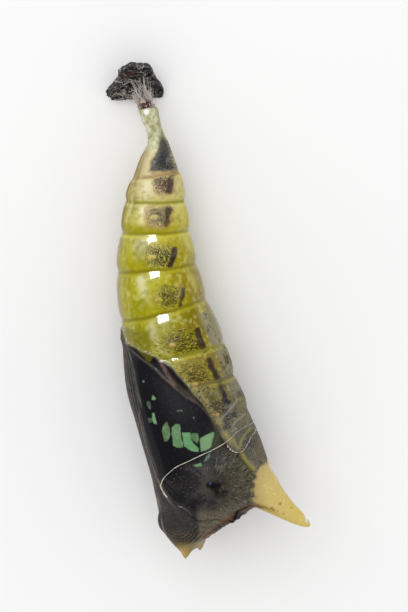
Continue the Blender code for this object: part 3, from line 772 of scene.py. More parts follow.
    def borders(self):
        at = self.at
        for number, shade in BORDER_SHADES.items():
            spacing = abs(RINGS[number + 1, 0] - RINGS[number - 1, 0]) / 2
            d = (at - number) * spacing + 0.03 * self.mottle
            here = self.bare * (1 - self.stalk)
            self.relief -= self.settings.border_depth * hump(d, 0.0, 0.1) * here
            self.lay(hump(d, 0.0, 0.13) * here * 0.95, shade)
            self.thin(0.7 * hump(d, 0.0, 0.12) * here)
            # a paler band just past each border, on the next segment's shoulder: painted highlight
            self.lay(hump(d, 0.24, 0.1) * here * (0.55 if number < 8 else 0.2),
                     (0.86, 0.83, 0.52 if number < 7 else 0.3))
        # the band before the A7/8 border and soft folds on the belly side of the last segments
        fold = lattice_noise(np.stack([self.angle / 9.0, self.y / 1.6, np.zeros(len(self.y))], 1), 1.0, 9)
        folds = ease(self.angle, 100, 120) * (1 - ease(at, 6.0, 6.8)) * ease(at, 3.7, 4.2)
        self.relief += 0.035 * fold * folds
        self.lay(folds * ease(fold, 0.0, 0.7) * 0.5, (0.56, 0.47, 0.34))
        self.lay(folds * ease(-fold, 0.1, 0.7) * 0.4, (0.86, 0.82, 0.66))

    def holes(self):
        for number, (px, py) in enumerate(BREATHING_HOLES):
            r = np.hypot((self.x - px) / 0.26, (self.y - py) / 0.17)
            on = self.bare
            bold = 1.0 if number >= 3 else 0.4
            self.lay(hump(r, 1.25, 0.35) * on * 0.5 * bold, (0.34, 0.26, 0.12))
            self.lay(ease(1.05 - r, 0.0, 0.5) * on * (bold if number >= 3 else 0.42), (0.8, 0.66, 0.4) if number >= 2
                     else (0.8, 0.74, 0.4))
            self.lay(self.blob(px, py - 0.1, 0.1, 0.05) * on * 0.8, (0.45, 0.25, 0.12))
            self.thin((0.85 if number >= 3 else 0.5) * ease(1.35 - r, 0.0, 0.4))
            self.relief += on * bold * (0.05 * ease(1.2 - r, 0, 0.9) - 0.05 * ease(0.35 - r, 0, 0.4))
            self.gloss -= 0.8 * ease(1.6 - r, 0.0, 0.5) * on

    def stalk_tip(self):
        stalk = self.stalk
        self.lay(stalk, (0.76, 0.75, 0.6))
        beads = lattice_noise(self.points * (1.0, 0.8, 1.0), 0.14, 12)
        self.relief += stalk * 0.035 * beads
        # bead tops painted paler and the gaps between them darker, following the relief: painted highlight and
        # painted shade
        self.lay(stalk * ease(-beads, 0.1, 0.5) * 0.6, (0.5, 0.48, 0.26))
        self.lay(stalk * ease(beads, 0.15, 0.55) * 0.65, (0.93, 0.92, 0.82))
        self.thin(stalk)
        side = ease(self.angle, 60, 20) * stalk
        self.lay(side * 0.45, (0.58, 0.58, 0.38))
        # a drop of dried fluid where the stalk meets the silk, raised and glossy, its middle painted white: a painted
        # highlight
        drop_and_painted_glint = hump(np.linalg.norm(self.points - (-1.22, 33.8, 0.62), axis=1), 0.0, 0.27)
        self.relief += 0.12 * drop_and_painted_glint
        self.lay(ease(drop_and_painted_glint, 0.25, 0.8), (1.0, 1.0, 0.97))
        self.gloss += drop_and_painted_glint + 0.45 * stalk * ease(beads, 0.3, 0.7)

    def wing_case(self):
        x, y, blotch = self.x, self.y, self.blotch
        s, on = self.wing, ease(self.wing, -0.02, 0.05)
        ink = tuple(self.settings.wing_ink)
        self.tone += (np.array(ink) - self.tone) * on[:, None]
        self.dot(self.speck, on, (0.035, 0.03, 0.045), 0.3)
        self.dot(self.fleck, on, (0.2, 0.195, 0.225), 0.22)
        # the thorax's flank: smoky, streaked from the tubercle
        smoky = on * ease(6.9 + 0.55 * (x - 2.0) + 0.5 * blotch - y, -0.7, 0.9)
        smoky *= 0.22 + 0.3 * ease(y, 5.2, 6.0) + 0.58 * ease(x + 0.4 * blotch + 0.25 * y, 4.2, 5.4)
        self.lay(smoky * 0.8, (0.21, 0.2, 0.195))
        self.lay(smoky * ease(blotch + self.mottle, 0.0, 0.8) * 0.5, (0.37, 0.355, 0.33))
        self.lay(smoky * ease(-blotch + self.mottle, 0.1, 0.8) * 0.5, (0.12, 0.115, 0.125))
        self.dot(self.fleck, smoky, (0.37, 0.355, 0.335), 0.4)
        self.dot(self.speck, smoky, (0.08, 0.075, 0.09), 0.4)
        rear = smoky * ease(x + 0.3 * blotch, 4.7, 6.6)
        self.lay(rear * 0.8, (0.34, 0.32, 0.25))
        self.dot(self.fleck, rear, (0.44, 0.425, 0.36), 0.38)
        low = on * ease(4.9 - y + 0.35 * blotch, 0.0, 1.2) * ease(x, 3.0, 3.8)
        self.lay(low * 0.75, (0.43, 0.405, 0.345))
        haze = on * self.blob(4.9, 8.3, 0.9, 0.9)
        self.lay(haze * 0.45, (0.27, 0.29, 0.29))

        # hind wing strip between the forewing's edge and the rim
        fore, share = self.line(FOREWING)
        outside = ease(-self.inside(FOREWING + FOREWING_FAR_SIDE), 0.0, 0.06) * on
        self.lay(outside * 0.75, (0.1, 0.085, 0.095))
        self.lay(ease(self.inside(WEDGE), -0.03, 0.06) * on, (0.345, 0.325, 0.02))
        for streak, strength, shade in ((ROSE_STREAK, 0.9, (0.47, 0.36, 0.33)),
                                        (BROWN_STREAK, 0.7, (0.3, 0.25, 0.19))):
            d, _ = self.line(streak)
            self.lay(hump(d + 0.03 * self.crumb, 0.0, 0.13) * outside * strength, shade)
        self.lay(hump(fore, 0.0, 0.055) * on * (0.75 - 0.45 * share), (0.46, 0.41, 0.36))
        self.relief += 0.035 * hump(fore, 0.0, 0.09) * on - 0.03 * outside

        # the rim: a pale line, and beads on the bare skin beyond it
        along = ease(y, 9.0, 9.8)
        shown = along * (0.35 + 0.65 * ease(y, 13.0, 15.5))
        rim_at = hump(s, -0.02, 0.06) * shown * ease(self.at, 6, 7)
        self.lay(rim_at * 0.85, (0.6, 0.57, 0.4))
        flankward = (1 - ease(self.angle, 150, 170)) * ease(y, 8.9, 9.6)
        self.lay(hump(s, -0.3, 0.16) * flankward * (1 - ease(y, 13.6, 15.2)) * 0.85, (0.62, 0.57, 0.33))
        dark = hump(s, -0.09, 0.07) * flankward * (1 - ease(y, 14.2, 15.4))
        self.lay(dark * 0.2, (0.18, 0.16, 0.12))
        beads = ease(lattice_noise(self.points, 0.16, 21), 0.25, 0.6)
        self.lay(hump(s, -0.1, 0.07) * flankward * beads * 0.7 * ease(y, 10.5, 12), (0.82, 0.82, 0.76))
        step_here = ease(y, 8.6, 9.4)
        self.relief += step_here * (0.05 * hump(s, 0.1, 0.16) - 0.09 * hump(s, -0.12, 0.16))

    def sheath(self):
        """Antenna, leg and tongue cases: long narrow ribs from the edge line round to the belly's middle."""
        y, angle, wing = self.y, self.angle, self.wing
        edge_x = np.interp(-y, [-p[1] for p in SHEATH], [p[0] for p in SHEATH])
        _, centre, _, deep, wide, _ = catmull_rom(RINGS, self.at).T
        edge_angle = np.degrees(np.arccos(np.clip((edge_x - centre) / deep, -0.999, 0.999)))
        band = (angle - edge_angle) / np.maximum(180.0 - edge_angle, 12.0)
        mm = (angle - edge_angle) * math.pi / 180 * wide
        on = ease(wing, 0.0, 0.08) * ease(mm, -0.03, 0.05) * span(y, 3.4, 4.6, 16.9, 17.5)
        self.sheath_on, self.sheath_mm = on, mm
        ribs = band * 9.0 + 0.25 * self.blotch
        wave = np.cos(2 * np.pi * ribs)
        fade = ease(y, 3.6, 5.5)
        self.lay(on * 0.9, (0.205, 0.198, 0.2))
        self.lay(on * ease(wave, 0.2, 0.95) * 0.5, (0.35, 0.325, 0.31))
        self.lay(on * ease(-wave, 0.35, 1.0) * 0.75, (0.085, 0.08, 0.09))
        outer = ease(angle + 4 * self.blotch, 134, 156) * on
        self.lay(outer * 0.62, (0.38, 0.325, 0.295))
        self.lay(outer * ease(-wave, 0.5, 1.0) * 0.6, (0.19, 0.16, 0.15))
        self.dot(self.fleck, on, (0.5, 0.47, 0.45), 0.28)
        self.dot(self.speck, on, (0.11, 0.1, 0.11), 0.34)
        self.relief += on * fade * (0.028 * wave - 0.05 * hump(mm, 0.0, 0.07))
        # a pale stripe just outside the edge line
        pale = hump(mm, -0.18, 0.13) * span(y, 11.4, 12.6, 15.6, 16.4) * ease(wing, 0.05, 0.2)
        self.lay(pale * (0.55 + 0.35 * self.mottle), (0.42, 0.44, 0.39))
        low_pale = on * hump(mm, 0.42, 0.16) * (1 - ease(y, 10.5, 12.0))
        self.lay(low_pale * 0.5, (0.52, 0.49, 0.45))
        # the belly's middle: the tongue case between two grooves
        middle = np.abs(self.z)
        belly = ease(angle, 150, 165) * ease(wing, 0.1, 0.3)
        for at_z, depth in ((0.0, 0.025), (0.42, 0.05), (1.0, 0.035)):
            groove = hump(middle, at_z * ease(y, 18.0, 12.0), 0.07) * belly
            self.relief -= depth * groove
            self.lay(groove * 0.7, (0.1, 0.09, 0.09))

    def windows(self):
        on = self.wing > 0.1
        edge = 0.03 * self.crumb + 0.025 * self.mottle
        for outline, shade in SPOTS:
            d = self.inside(outline) + edge
            nearer = d > self.spot
            self.spot = np.where(nearer, d, self.spot)
            self.spot_tone[nearer] = linear(SHADES[shade])
        self.spot = np.where(on, self.spot, BENEATH)
        d, _ = self.line([(3.58, 9.72), (3.63, 9.39), (3.72, 9.02)])
        amber = hump(d, 0.0, 0.07)
        self.spot_tone += (np.array(linear((0.62, 0.58, 0.22))) - self.spot_tone) * (0.8 * amber)[:, None]
        halo = self.blob(4.75, 9.55, 0.5, 0.75) * ease(self.wing, 0.05, 0.2)
        self.lay(halo * 0.75, (0.3, 0.31, 0.21))

    def thorax(self):
        mottle = self.mottle
        on = (1 - ease(self.wing, -0.05, 0.02)) * ease(self.at, 11.0, 12.0) * (1 - self.horn)
        self.dot(self.speck, on, (0.17, 0.17, 0.18), 0.36 + 0.14 * self.blotch)
        self.dot(self.fleck, on, (0.58, 0.56, 0.48), 0.36)
        blot = ease(lattice_noise(self.points, 0.75, 31) + 0.35 * mottle, 0.12, 0.55) * on
        self.lay(blot * 0.82, (0.16, 0.175, 0.2))
        pale = ease(lattice_noise(self.points, 0.6, 32) + 0.3 * mottle, 0.25, 0.7) * on
        self.lay(pale * 0.62, (0.54, 0.53, 0.47))
        dark_back = self.blob(7.0, 9.2, 0.75, 1.25) * on
        self.lay(dark_back * 0.75, (0.25, 0.25, 0.265))
        edge = ease(self.x, 7.05, 7.5) * hump(self.y, 8.6, 0.9) * on
        self.lay(edge * 0.6, (0.42, 0.33, 0.25))
        self.relief += on * 0.014 * mottle

    def lines(self):
        flank = (self.angle > 4) & (self.angle < 176)
        for line, half, relief, shade, strength in LINES:
            d, share = self.line(line)
            drawn = (hump(d + 0.015 * self.crumb, 0.0, half * 1.15) * flank
                     * np.clip(np.sin(np.pi * np.clip(share, 0.03, 0.97)) * 2.2, 0, 1))
            self.lay(drawn * strength, shade)
            self.relief += relief * hump(d, 0.0, half * 1.5) * flank
            self.thin(0.7 * drawn)

    def head(self):
        x, y, blotch = self.x, self.y, self.blotch
        on = ease(self.wing, 0.0, 0.1) * ease(5.0 - y, 0.0, 0.6)
        r = np.hypot(x - EYE[0] - 0.4, y - EYE[1] - 0.1)
        dome = on * (1 - ease(r + 0.08 * blotch, 1.35, 1.9))
        self.lay(dome * 0.8, (0.235, 0.225, 0.22))
        self.dot(self.fleck, dome, (0.38, 0.37, 0.355), 0.32)
        rings = np.cos(2 * np.pi * (r / 0.24 + 0.3 * self.mottle + 0.35 * blotch))
        below = on * ease(2.75 - y, 0.0, 0.5) * (1 - ease(x, 3.0, 3.7))
        self.lay(below * 0.35, (0.27, 0.235, 0.19))
        self.lay(below * ease(rings, 0.1, 0.9) * 0.55, (0.42, 0.37, 0.29))
        self.lay(below * ease(-rings, 0.1, 0.9) * 0.55, (0.16, 0.13, 0.105))
        self.relief += below * 0.016 * rings + dome * 0.006 * rings
        face = on * ease(x + 0.25 * blotch, 2.95, 3.7) * ease(4.3 - y, 0.0, 0.6)
        self.lay(face * 0.75, (0.44, 0.41, 0.345))
        pale = on * ease(1.75 - y + 0.2 * blotch, 0.0, 0.7) * ease(x, 1.2, 2.2)
        self.lay(pale * 0.75, (0.55, 0.5, 0.37))
        tip = self.blob(1.75, 0.55, 0.75, 0.62) * ease(np.abs(self.z), 0.9, 1.4)
        self.lay(tip, (0.74, 0.63, 0.36))
        second = self.blob(2.75, 0.95, 0.5, 0.4)
        self.lay(second * 0.8, (0.55, 0.48, 0.32))
        point = self.blob(BROW_POINT[0] - 0.1, BROW_POINT[1] - 0.1, 0.22, 0.16)
        self.lay(point, (0.13, 0.09, 0.05))
        left = ease(0.25 - x + 0.1 * blotch, 0.0, 0.6) * on
        self.lay(left * 0.7, (0.47, 0.42, 0.35))
        self.thin(0.8 * np.maximum(tip, second))
        wrinkle = np.cos(2 * np.pi * ((x * 0.35 + y) / 0.42 + 0.5 * blotch))
        self.relief += face * 0.022 * wrinkle
        self.lay(face * ease(-wrinkle, 0.5, 1.0) * 0.5, (0.22, 0.2, 0.17))

    def tubercle(self):
        crumb = self.crumb
        dx, dy = self.x - TUBERCLE[0], self.y - TUBERCLE[1]
        r = np.hypot(dx, dy)
        on = (np.abs(self.z) > 1.0) & (self.wing > 0.1)
        self.relief += on * (0.11 * hump(r, 0.0, 0.22) - 0.03 * hump(r, 0.38, 0.1))
        self.lay(on * hump(np.hypot(dx - 0.45, dy + 0.28), 0.0, 0.75) * 0.9, (0.1, 0.09, 0.09))
        self.thin(0.9 * on * hump(np.hypot(dx - 0.3, dy + 0.2), 0.0, 0.75))
        self.lay(ease(0.34 + 0.05 * crumb - r, 0.0, 0.08) * on, (0.03, 0.028, 0.06))
        # a small bluish spot on the bump's tail side: a painted highlight
        self.lay(on * hump(np.hypot(dx + 0.02, dy - 0.12), 0.0, 0.08) * 0.7, (0.34, 0.36, 0.5))
        arc = (on * ease(crumb + 0.5 * self.mottle, -0.05, 0.25) * hump(np.hypot(dx - 0.45, dy + 0.1), 0.48, 0.13)
               * ease(dx - dy, 0.2, 0.5))
        self.lay(arc * ease(np.sin(26.0 * dx + 9.0 * dy + 2.0 * self.mottle), -0.2, 0.5) * 0.7, (0.46, 0.38, 0.35))
        dots = on * ease(-crumb, 0.1, 0.35) * hump(np.hypot(dx - 0.55, (dy + 0.35) * 1.3), 0.4, 0.3)
        self.lay(dots * 0.9, (0.05, 0.045, 0.07))
        tuft = on * hump(np.hypot((dx + 0.25) / 0.3, (dy + 0.35) / 0.22), 0, 1.0)
        self.lay(tuft * 0.5, (0.33, 0.3, 0.18))

    def horn_and_scar(self):
        x, y, z, mottle, horn = self.x, self.y, self.z, self.mottle, self.horn
        cream = tuple(self.settings.horn_cream)
        self.tone += (np.array(cream) - self.tone) * horn[:, None]
        self.thin(horn)
        tipward = horn * ease(x, 8.6, 10.8)
        self.lay(tipward * 0.5, (0.83, 0.75, 0.34))
        under = horn * ease(np.interp(x, [p[0] for p in HORN_AXIS], [p[1] for p in HORN_AXIS]) - y, 0.25, 0.85)
        self.lay(under * 0.55, (0.8, 0.7, 0.3))
        self.lay(horn * (1 - ease(x + 0.2 * mottle, 7.3, 8.6)) * 0.55, (0.68, 0.6, 0.42))
        for layer, shade, density in ((self.fleck, (0.95, 0.9, 0.68), 0.25), (self.speck, (0.7, 0.58, 0.26), 0.16)):
            layer[:, :3] += (np.array(linear(shade)) - layer[:, :3]) * horn[:, None]
            layer[:, 3] += density * horn
        long_wrinkle = lattice_noise(np.stack([x * 0.35 - y * 0.24, y * 1.6 + x * 1.1, z * 1.6], axis=1), 0.5, 41)
        self.relief += horn * 0.018 * long_wrinkle
        for px, py, size, shade in HORN_DOTS:
            self.lay(self.blob(px, py, size, size) * ease(z, -0.4, 0.0) * 0.9, shade)
        # the painted highlight on the horn's tip, and a brown scar line beside it
        for line, half, strength, shade in HORN_TIP_PAINTED_GLINT_AND_SCAR:
            d, _ = self.line(line)
            self.lay(hump(d, 0, half) * horn * strength, shade)
        # the stained, crumbly rim between the face and the horn's underside
        d, share = self.line(SCAR_RIM)
        # the stain colours also go where the skin turns edge-on to WAY_TO_VIEWER near the rim: painted shade over the
        # real stain
        edge_on_painted_shade = ease(0.62 - np.abs(self.upward), 0.0, 0.35) * hump(d, 0.0, 0.42)
        near = np.maximum(hump(d + 0.05 * mottle, 0.0, 0.17), edge_on_painted_shade) * (1 - ease(share, 0.86, 1.0))
        near *= ease(share, 0.0, 0.05) * (0.4 + 0.6 * ease(np.abs(z) + 0.3 * self.blotch, 0.45, 1.05))
        burnt = ease(mottle + 0.7 * self.crumb, -0.3, 0.2)
        amount = near * (1 - 0.6 * ease(share, 0.64, 0.9))
        self.lay(amount * 0.9, (0.6, 0.36, 0.14))
        self.lay(amount * burnt * 0.97, (0.06, 0.03, 0.02))
        solid = near * np.maximum(hump(share, 0.45, 0.16), 0.9 * hump(share, 0.2, 0.06))
        self.lay(np.clip(solid * 1.3, 0, 1), (0.045, 0.03, 0.025))
        crest = hump(share, 0.37, 0.1) * near
        self.relief += (near * 0.05 * (self.crumb + 0.8 * mottle) + crest * (0.32 + 0.08 * mottle) + 0.1 * near
                        * hump(share, 0.2, 0.1))
        self.thin(0.8 * near)

    def grain(self):
        """Coordinates that fine patterns follow: x across the grain, y along it.

        Each region's own constant, from 20 to 80, keeps its pattern apart from its neighbours'.
        """
        x, y, z = self.x, self.y, self.z
        round_mm = np.radians(self.angle) * 3.0
        grain = np.stack([y, round_mm, z * 0.2], axis=1)
        striped = span(self.at, 8.9, 9.4, 12.0, 12.4)
        grain[:, 1] *= 1.0 - 0.62 * striped
        grain[:, 0] += striped * 0.22 * np.cos(round_mm * 1.7)
        on = self.wing > 0.0
        hinge = np.hypot(x - 4.3, y - 6.2)
        fan = np.arctan2(x - 4.3, y - 6.2)
        grain[on] = np.stack([fan * (1.0 + ease(hinge, 1.5, 5.0)) * 1.5, hinge * 0.22 + 20.0,
                              np.zeros(len(fan))], axis=1)[on]
        smoky = on & (y < 7.3 + 0.5 * (x - 2.0) + 0.4 * self.mottle)
        grain[smoky] = np.stack([fan * 1.9 + 0.15 * self.mottle, hinge * 0.2 + 30.0, z * 0.1], axis=1)[smoky]
        in_sheath = self.sheath_on > 0.5
        grain[in_sheath] = np.stack([self.sheath_mm * 1.2 + 40.0, y * 0.14, np.zeros(len(fan))], axis=1)[in_sheath]
        head = on & (y < 4.4) & ~in_sheath
        r = np.hypot(x - EYE[0] - 0.4, y - EYE[1] - 0.1)
        turn = np.arctan2(y - EYE[1], x - EYE[0])
        grain[head] = np.stack([r * 1.3 + 60.0, turn * 0.7, np.zeros(len(fan))], axis=1)[head]
        horn = self.horn > 0.5
        grain[horn] = np.stack([y * 0.9 + x * 0.62 + 80.0, x * 0.3, z * 0.8], axis=1)[horn]
        return grain

    def work(self):
        self.back_and_flanks()
        self.wrinkled_zone()
        self.stalk_tip()
        self.shields()
        self.borders()
        self.holes()
        self.wing_case()
        self.sheath()
        self.windows()
        self.thorax()
        self.head()
        self.tubercle()
        self.lines()
        self.horn_and_scar()


def skin_material():
    material, n, shader = new_material("pupal_skin")
    tone, speck, fleck = n.attribute("tone"), n.attribute("speck"), n.attribute("fleck")
    grain = n.attribute("grain").outputs["Vector"]
    spot, spot_tone = n.attribute("spot").outputs["Fac"], n.attribute("spot_tone").outputs["Color"]
    place = n.place_mm()
    dark = use_group(n, speckle_group(), Base=tone.outputs["Color"], Speck=speck.outputs["Color"],
                     Density=speck.outputs["Alpha"], Grain=grain, Fineness=14.0, Softness=0.12)
    shifted = n.add("ShaderNodeVectorMath", operation="ADD")
    n.join(grain, shifted.inputs[0])
    shifted.inputs[1].default_value = (7.3, 3.1, 5.7)
    light = use_group(n, speckle_group(), Base=dark.outputs["Color"], Speck=fleck.outputs["Color"],
                      Density=fleck.outputs["Alpha"], Grain=shifted.outputs[0], Fineness=15.0, Softness=0.12)
    flow = n.noise(place, 3.0, 3.0)
    in_spot = n.ease(spot, -0.02, 0.035)
    spot_light = n.mix(n.ease(flow, 0.4, 0.62, 0.0, 0.26), spot_tone, (0.26, 0.42, 0.25, 1.0))
    spot_dark = n.mix(n.ease(spot, 0.0, 0.12, 0.45, 0.0), spot_light, (0.03, 0.07, 0.04, 1.0))
    colour = n.mix(in_spot, light.outputs["Color"], spot_dark)
    n.join(colour, shader.inputs["Base Color"])
    gloss = n.attribute("gloss").outputs["Fac"]
    n.join(n.math("ADD", n.ease(gloss, 0.0, 1.0, 0.55, 0.26), n.math("MULTIPLY", dark.outputs["Mask"], 0.08)),
           shader.inputs["Roughness"])
    shader.inputs["Specular IOR Level"].default_value = 0.08
    n.join(n.ease(gloss, 0.18, 1.0, 0.0, 0.45), shader.inputs["Coat Weight"])
    shader.inputs["Coat Roughness"].default_value = 0.06
    shader.inputs["Subsurface Weight"].default_value = 0.1
    shader.inputs["Subsurface Radius"].default_value = (1.0, 0.8, 0.35)
    shader.inputs["Subsurface Scale"].default_value = 0.0004
    fine = n.noise(place, 7.0, 2.0, 0.6)
    height = n.math("ADD", n.math("MULTIPLY", dark.outputs["Mask"], -0.5), n.math("MULTIPLY", fine, 0.9))
    height = n.math("ADD", height, n.math("MULTIPLY", light.outputs["Mask"], 0.5))
    set_bump(n, shader, height, 0.35, 0.00003)
    return material


class CHRYSALIS_OT_skin(bpy.types.Operator):
    """The chrysalis itself: shell, wing cases, head and horn"""

    bl_idname = "chrysalis.skin"
    bl_label = "Chrysalis skin"

    def execute(self, context):
        settings = context.scene.chrysalis
        piece = node_copy("chrysalis", "chrysalis_skin")
        points, normals = resculpt(piece, LYING, settings.skin_voxel, SKIN_ROUNDS)
        paint = SkinPaint(points, normals, settings)
        paint.work()
        mesh = piece.data
        store_colour(mesh, "tone", paint.tone)
        for name, layer in (("speck", paint.speck), ("fleck", paint.fleck)):
            store(mesh, name, "FLOAT_COLOR", np.clip(layer, 0.0, 1.0))
        store_colour(mesh, "spot_tone", paint.spot_tone)
        store(mesh, "spot", "FLOAT", paint.spot)
        store(mesh, "grain", "FLOAT_VECTOR", paint.grain())
        shiny = span(paint.at, 6.7, 7.1, 9.95, 10.12)
        skin_gloss = 0.18 + 0.82 * shiny + 0.08 * paint.mottle
        gloss = skin_gloss + (0.4 - skin_gloss) * ease(paint.wing, 0.0, 0.1)
        gloss += (0.45 - gloss) * paint.horn + paint.gloss
        store(mesh, "gloss", "FLOAT", np.clip(gloss, 0.0, 1.0))
        shaped = points + normals * paint.relief[:, None]
        brow = np.linalg.norm(points - np.array(BROW_POINT) * (1.0, 1.0, -1.0), axis=1)
        shaped[:, 1] -= BROW_DROP * hump(brow, 0.0, 1.1)
        put_back(piece, shaped, LYING)
        mesh.materials.append(skin_material())
        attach(piece, "root")
        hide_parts("chrysalis")
        return {"FINISHED"}


# ---- the stalk's hooks, the silk pad and the bark ----

def stalk_end():
    """Middle of the stalk's end face, the way out of it and the two ways across, in the lying frame in mm."""
    end, before = carried([(centre, along, 0.0) for along, centre in RINGS[:2, :2]], LYING)
    way = (end - before) / np.linalg.norm(end - before)
    side = np.cross(way, (0.0, 0.0, 1.0))
    side /= np.linalg.norm(side)
    return end, way, side, np.cross(side, way)


def plain_material(name, shade, dark, fineness, roughness, bump, distance, coat=0.0):
    """Two shades of one matter in streaks and lumps, with a fine bump."""
    material, n, shader = new_material(name)
    place = n.place_mm()
    noise = n.noise(place, fineness, 4.0, 0.6)
    coarse = n.noise(place, fineness * 0.3, 2.0)
    mixed = n.mix(n.ease(noise, 0.36, 0.62), (*dark, 1.0), (*shade, 1.0))
    lifted = n.mix(n.ease(coarse, 0.35, 0.7, 0.0, 0.35), mixed, (*[min(1.0, c * 1.25) for c in shade], 1.0))
    n.join(lifted, shader.inputs["Base Color"])
    n.join(n.ease(noise, 0.3, 0.7, roughness + 0.1, roughness - 0.05), shader.inputs["Roughness"])
    shader.inputs["Coat Weight"].default_value = coat
    set_bump(n, shader, noise, bump, distance)
    return material, n, shader


class CHRYSALIS_OT_hooks(bpy.types.Operator):
    """The tuft of red-brown hooks with which the stalk holds on to the silk"""

    bl_idname = "chrysalis.hooks"
    bl_label = "Stalk hooks"

    def execute(self, context):
        rng = np.random.default_rng(8)
        verts, faces = [], []
        end, way, side, up = stalk_end()
        for _ in range(context.scene.chrysalis.hooks):
            turn = rng.uniform(0.0, 2 * math.pi)
            spread = rng.uniform(0.05, 0.5)
            out = side * math.cos(turn) + up * math.sin(turn)
            root = end + way * rng.uniform(-0.02, 0.18) + out * spread * 0.8 + up * 0.42 - side * 0.05
            lean = way * rng.uniform(0.6, 1.0) + out * rng.uniform(0.1, 0.5) + up * rng.uniform(-0.1, 0.45)
            lean /= np.linalg.norm(lean)
            curl = np.cross(lean, out + 0.3 * up)
            long = rng.uniform(0.34, 0.66)
            path = []
            for t in np.linspace(0.0, 1.0, 7):
                bend = max(0.0, t - 0.55) ** 2 * 1.6
                path.append(root + lean * long * (t - bend * 0.8) + (out * 0.6 + curl * 0.3) * long * bend)
            radii = [0.045 * (1.0 - 0.75 * t) + 0.004 for t in np.linspace(0, 1, 7)]
            tube(path, radii, 5, verts, faces)
        piece = new_piece("stalk_hooks", np.array(verts) * MM, faces)
        material, _, _ = plain_material(
            "hook_horn", linear((0.36, 0.14, 0.08)), linear((0.14, 0.05, 0.04)), 6.0, 0.35, 0.2, 0.00001, 0.4)
        piece.data.materials.append(material)
        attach(piece, "root")
        return {"FINISHED"}


class CHRYSALIS_OT_silk_pad(bpy.types.Operator):
    """The funnel of silk between the stalk and the bark, and the fibres fanned out over the bark"""

    bl_idname = "chrysalis.silk_pad"
    bl_label = "Silk pad"

    def execute(self, context):
        settings = context.scene.chrysalis
        rng = np.random.default_rng(15)
        core = node_copy("silk_pad", "silk_pad_core")
        points, normals = resculpt(core, Matrix.Identity(4), PAD_VOXEL, PAD_ROUNDS)
        lumps = lattice_noise(points, 0.35, 61) * 0.05 + lattice_noise(points * (1, 0.35, 1), 0.13, 62) * 0.035
        along = (points[:, 1] - points[:, 1].min()) / np.ptp(points[:, 1])
        # beyond the stalk's brush only a thin dark twist of silk leads on to the bark
        first, last = points[along < 0.15].mean(axis=0), points[along > 0.85].mean(axis=0)
        axis = (first + (last - first)
                * ((points - first) @ (last - first) / ((last - first) @ (last - first)))[:, None])
        thin = 1.0 - 0.86 * ease(along, 0.12, 0.45)
        shaped = axis + (points - axis) * thin[:, None] + normals * (lumps * thin - 0.05)[:, None]
        put_back(core, shaped, Matrix.Identity(4))
        pale, dark = np.array(linear((0.74, 0.66, 0.6))), np.array(linear((0.07, 0.05, 0.045)))
        store_colour(core.data, "tone", pale + (dark - pale) * ease(along + lumps, 0.22, 0.4)[:, None])

        end, way, side, up = stalk_end()
        verts, faces = [], []
        for number in range(settings.silk_fibres):
            turn = rng.uniform(0.0, 2 * math.pi)
            start = (end - way * rng.uniform(-0.05, 0.2) + (side * math.cos(turn) + up * math.sin(turn))
                     * rng.uniform(0.5, 0.78))
            across = -0.4 - math.cos(turn) * rng.uniform(0.3, 0.95) + rng.normal(0.0, 0.1)
            rise = rng.uniform(0.55, 1.5)
            if number % 5 == 0:
                across, rise = rng.uniform(-1.0, 0.45), rng.uniform(1.5, 3.5)
            across, rise = max(-1.55, min(0.62, across)), min(rise, 4.0 - 0.35 * abs(across + 0.3))
            lift = rng.uniform(0.03, 0.1)
            foot = carried((across, rise, lift), CHIP)
            before = carried((across * 0.86 - 0.05, rise - rng.uniform(0.1, 0.4), lift + rng.uniform(0.1, 0.5)), CHIP)
            sway = side * rng.normal(0, 0.05) + up * rng.normal(0, 0.05)
            knots = np.array([start, start * 0.66 + before * 0.34 + sway, start * 0.3 + before * 0.7 - sway, before,
                              foot])
            ts = np.linspace(0, len(knots) - 1, 12)
            path = catmull_rom(knots, ts)
            thick = rng.uniform(0.009, 0.022) * (0.85 if number % 5 == 0 else 1.0)
            tube(path, [thick * (0.7 + 0.5 * math.sin(2.6 * t / len(knots) + number)) for t in ts], 4, verts, faces)
        # short loops and ends of silk lying on the bark round the funnel
        for number in range(settings.silk_fibres // 3):
            across, rise = rng.uniform(-1.7, 0.5), rng.uniform(0.5, 3.4)
            if number % 3 == 0:
                across, rise = rng.uniform(-2.3, -1.2), rng.uniform(0.7, 2.0)
            heading, curl = rng.uniform(0, 2 * math.pi), rng.normal(0, 5.0)
            spot, path = np.array((across, rise)), []
            for t in range(9):
                path.append(carried((*spot, 0.05 + 0.05 * math.sin(t * 0.8 + number)), CHIP))
                spot = spot + 0.085 * np.array((math.cos(heading), math.sin(heading)))
                heading += curl * 0.12
            tube(path, [rng.uniform(0.008, 0.017)] * 9, 4, verts, faces)
        verts = np.array(verts)
        verts[:, 2] = np.maximum(verts[:, 2], LOWEST_FIBRE)
        fibres = new_piece("silk_fibres", verts * MM, faces)

        white = tuple(settings.silk_white)
        material, n, shader = plain_material(
            "silk_white", white, tuple(c * 0.62 for c in white), 5.0, 0.42, 0.3, 0.00001, 0.2)
        shader.inputs["Sheen Weight"].default_value = 0.3
        fibres.data.materials.append(material)
        material, n, shader = new_material("silk_matted")
        strands = n.noise(n.place_mm(), 5.0, 4.0, 0.6)
        tone = n.attribute("tone").outputs["Color"]
        n.join(n.mix(n.ease(strands, 0.38, 0.6, 0.6, 0.0), tone, (0.05, 0.022, 0.016, 1.0)),
               shader.inputs["Base Color"])
        shader.inputs["Roughness"].default_value = 0.55
        set_bump(n, shader, strands, 0.6, 0.00003)
        core.data.materials.append(material)
        for piece in (core, fibres):
            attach(piece, "root")
        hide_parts("silk_pad")
        return {"FINISHED"}


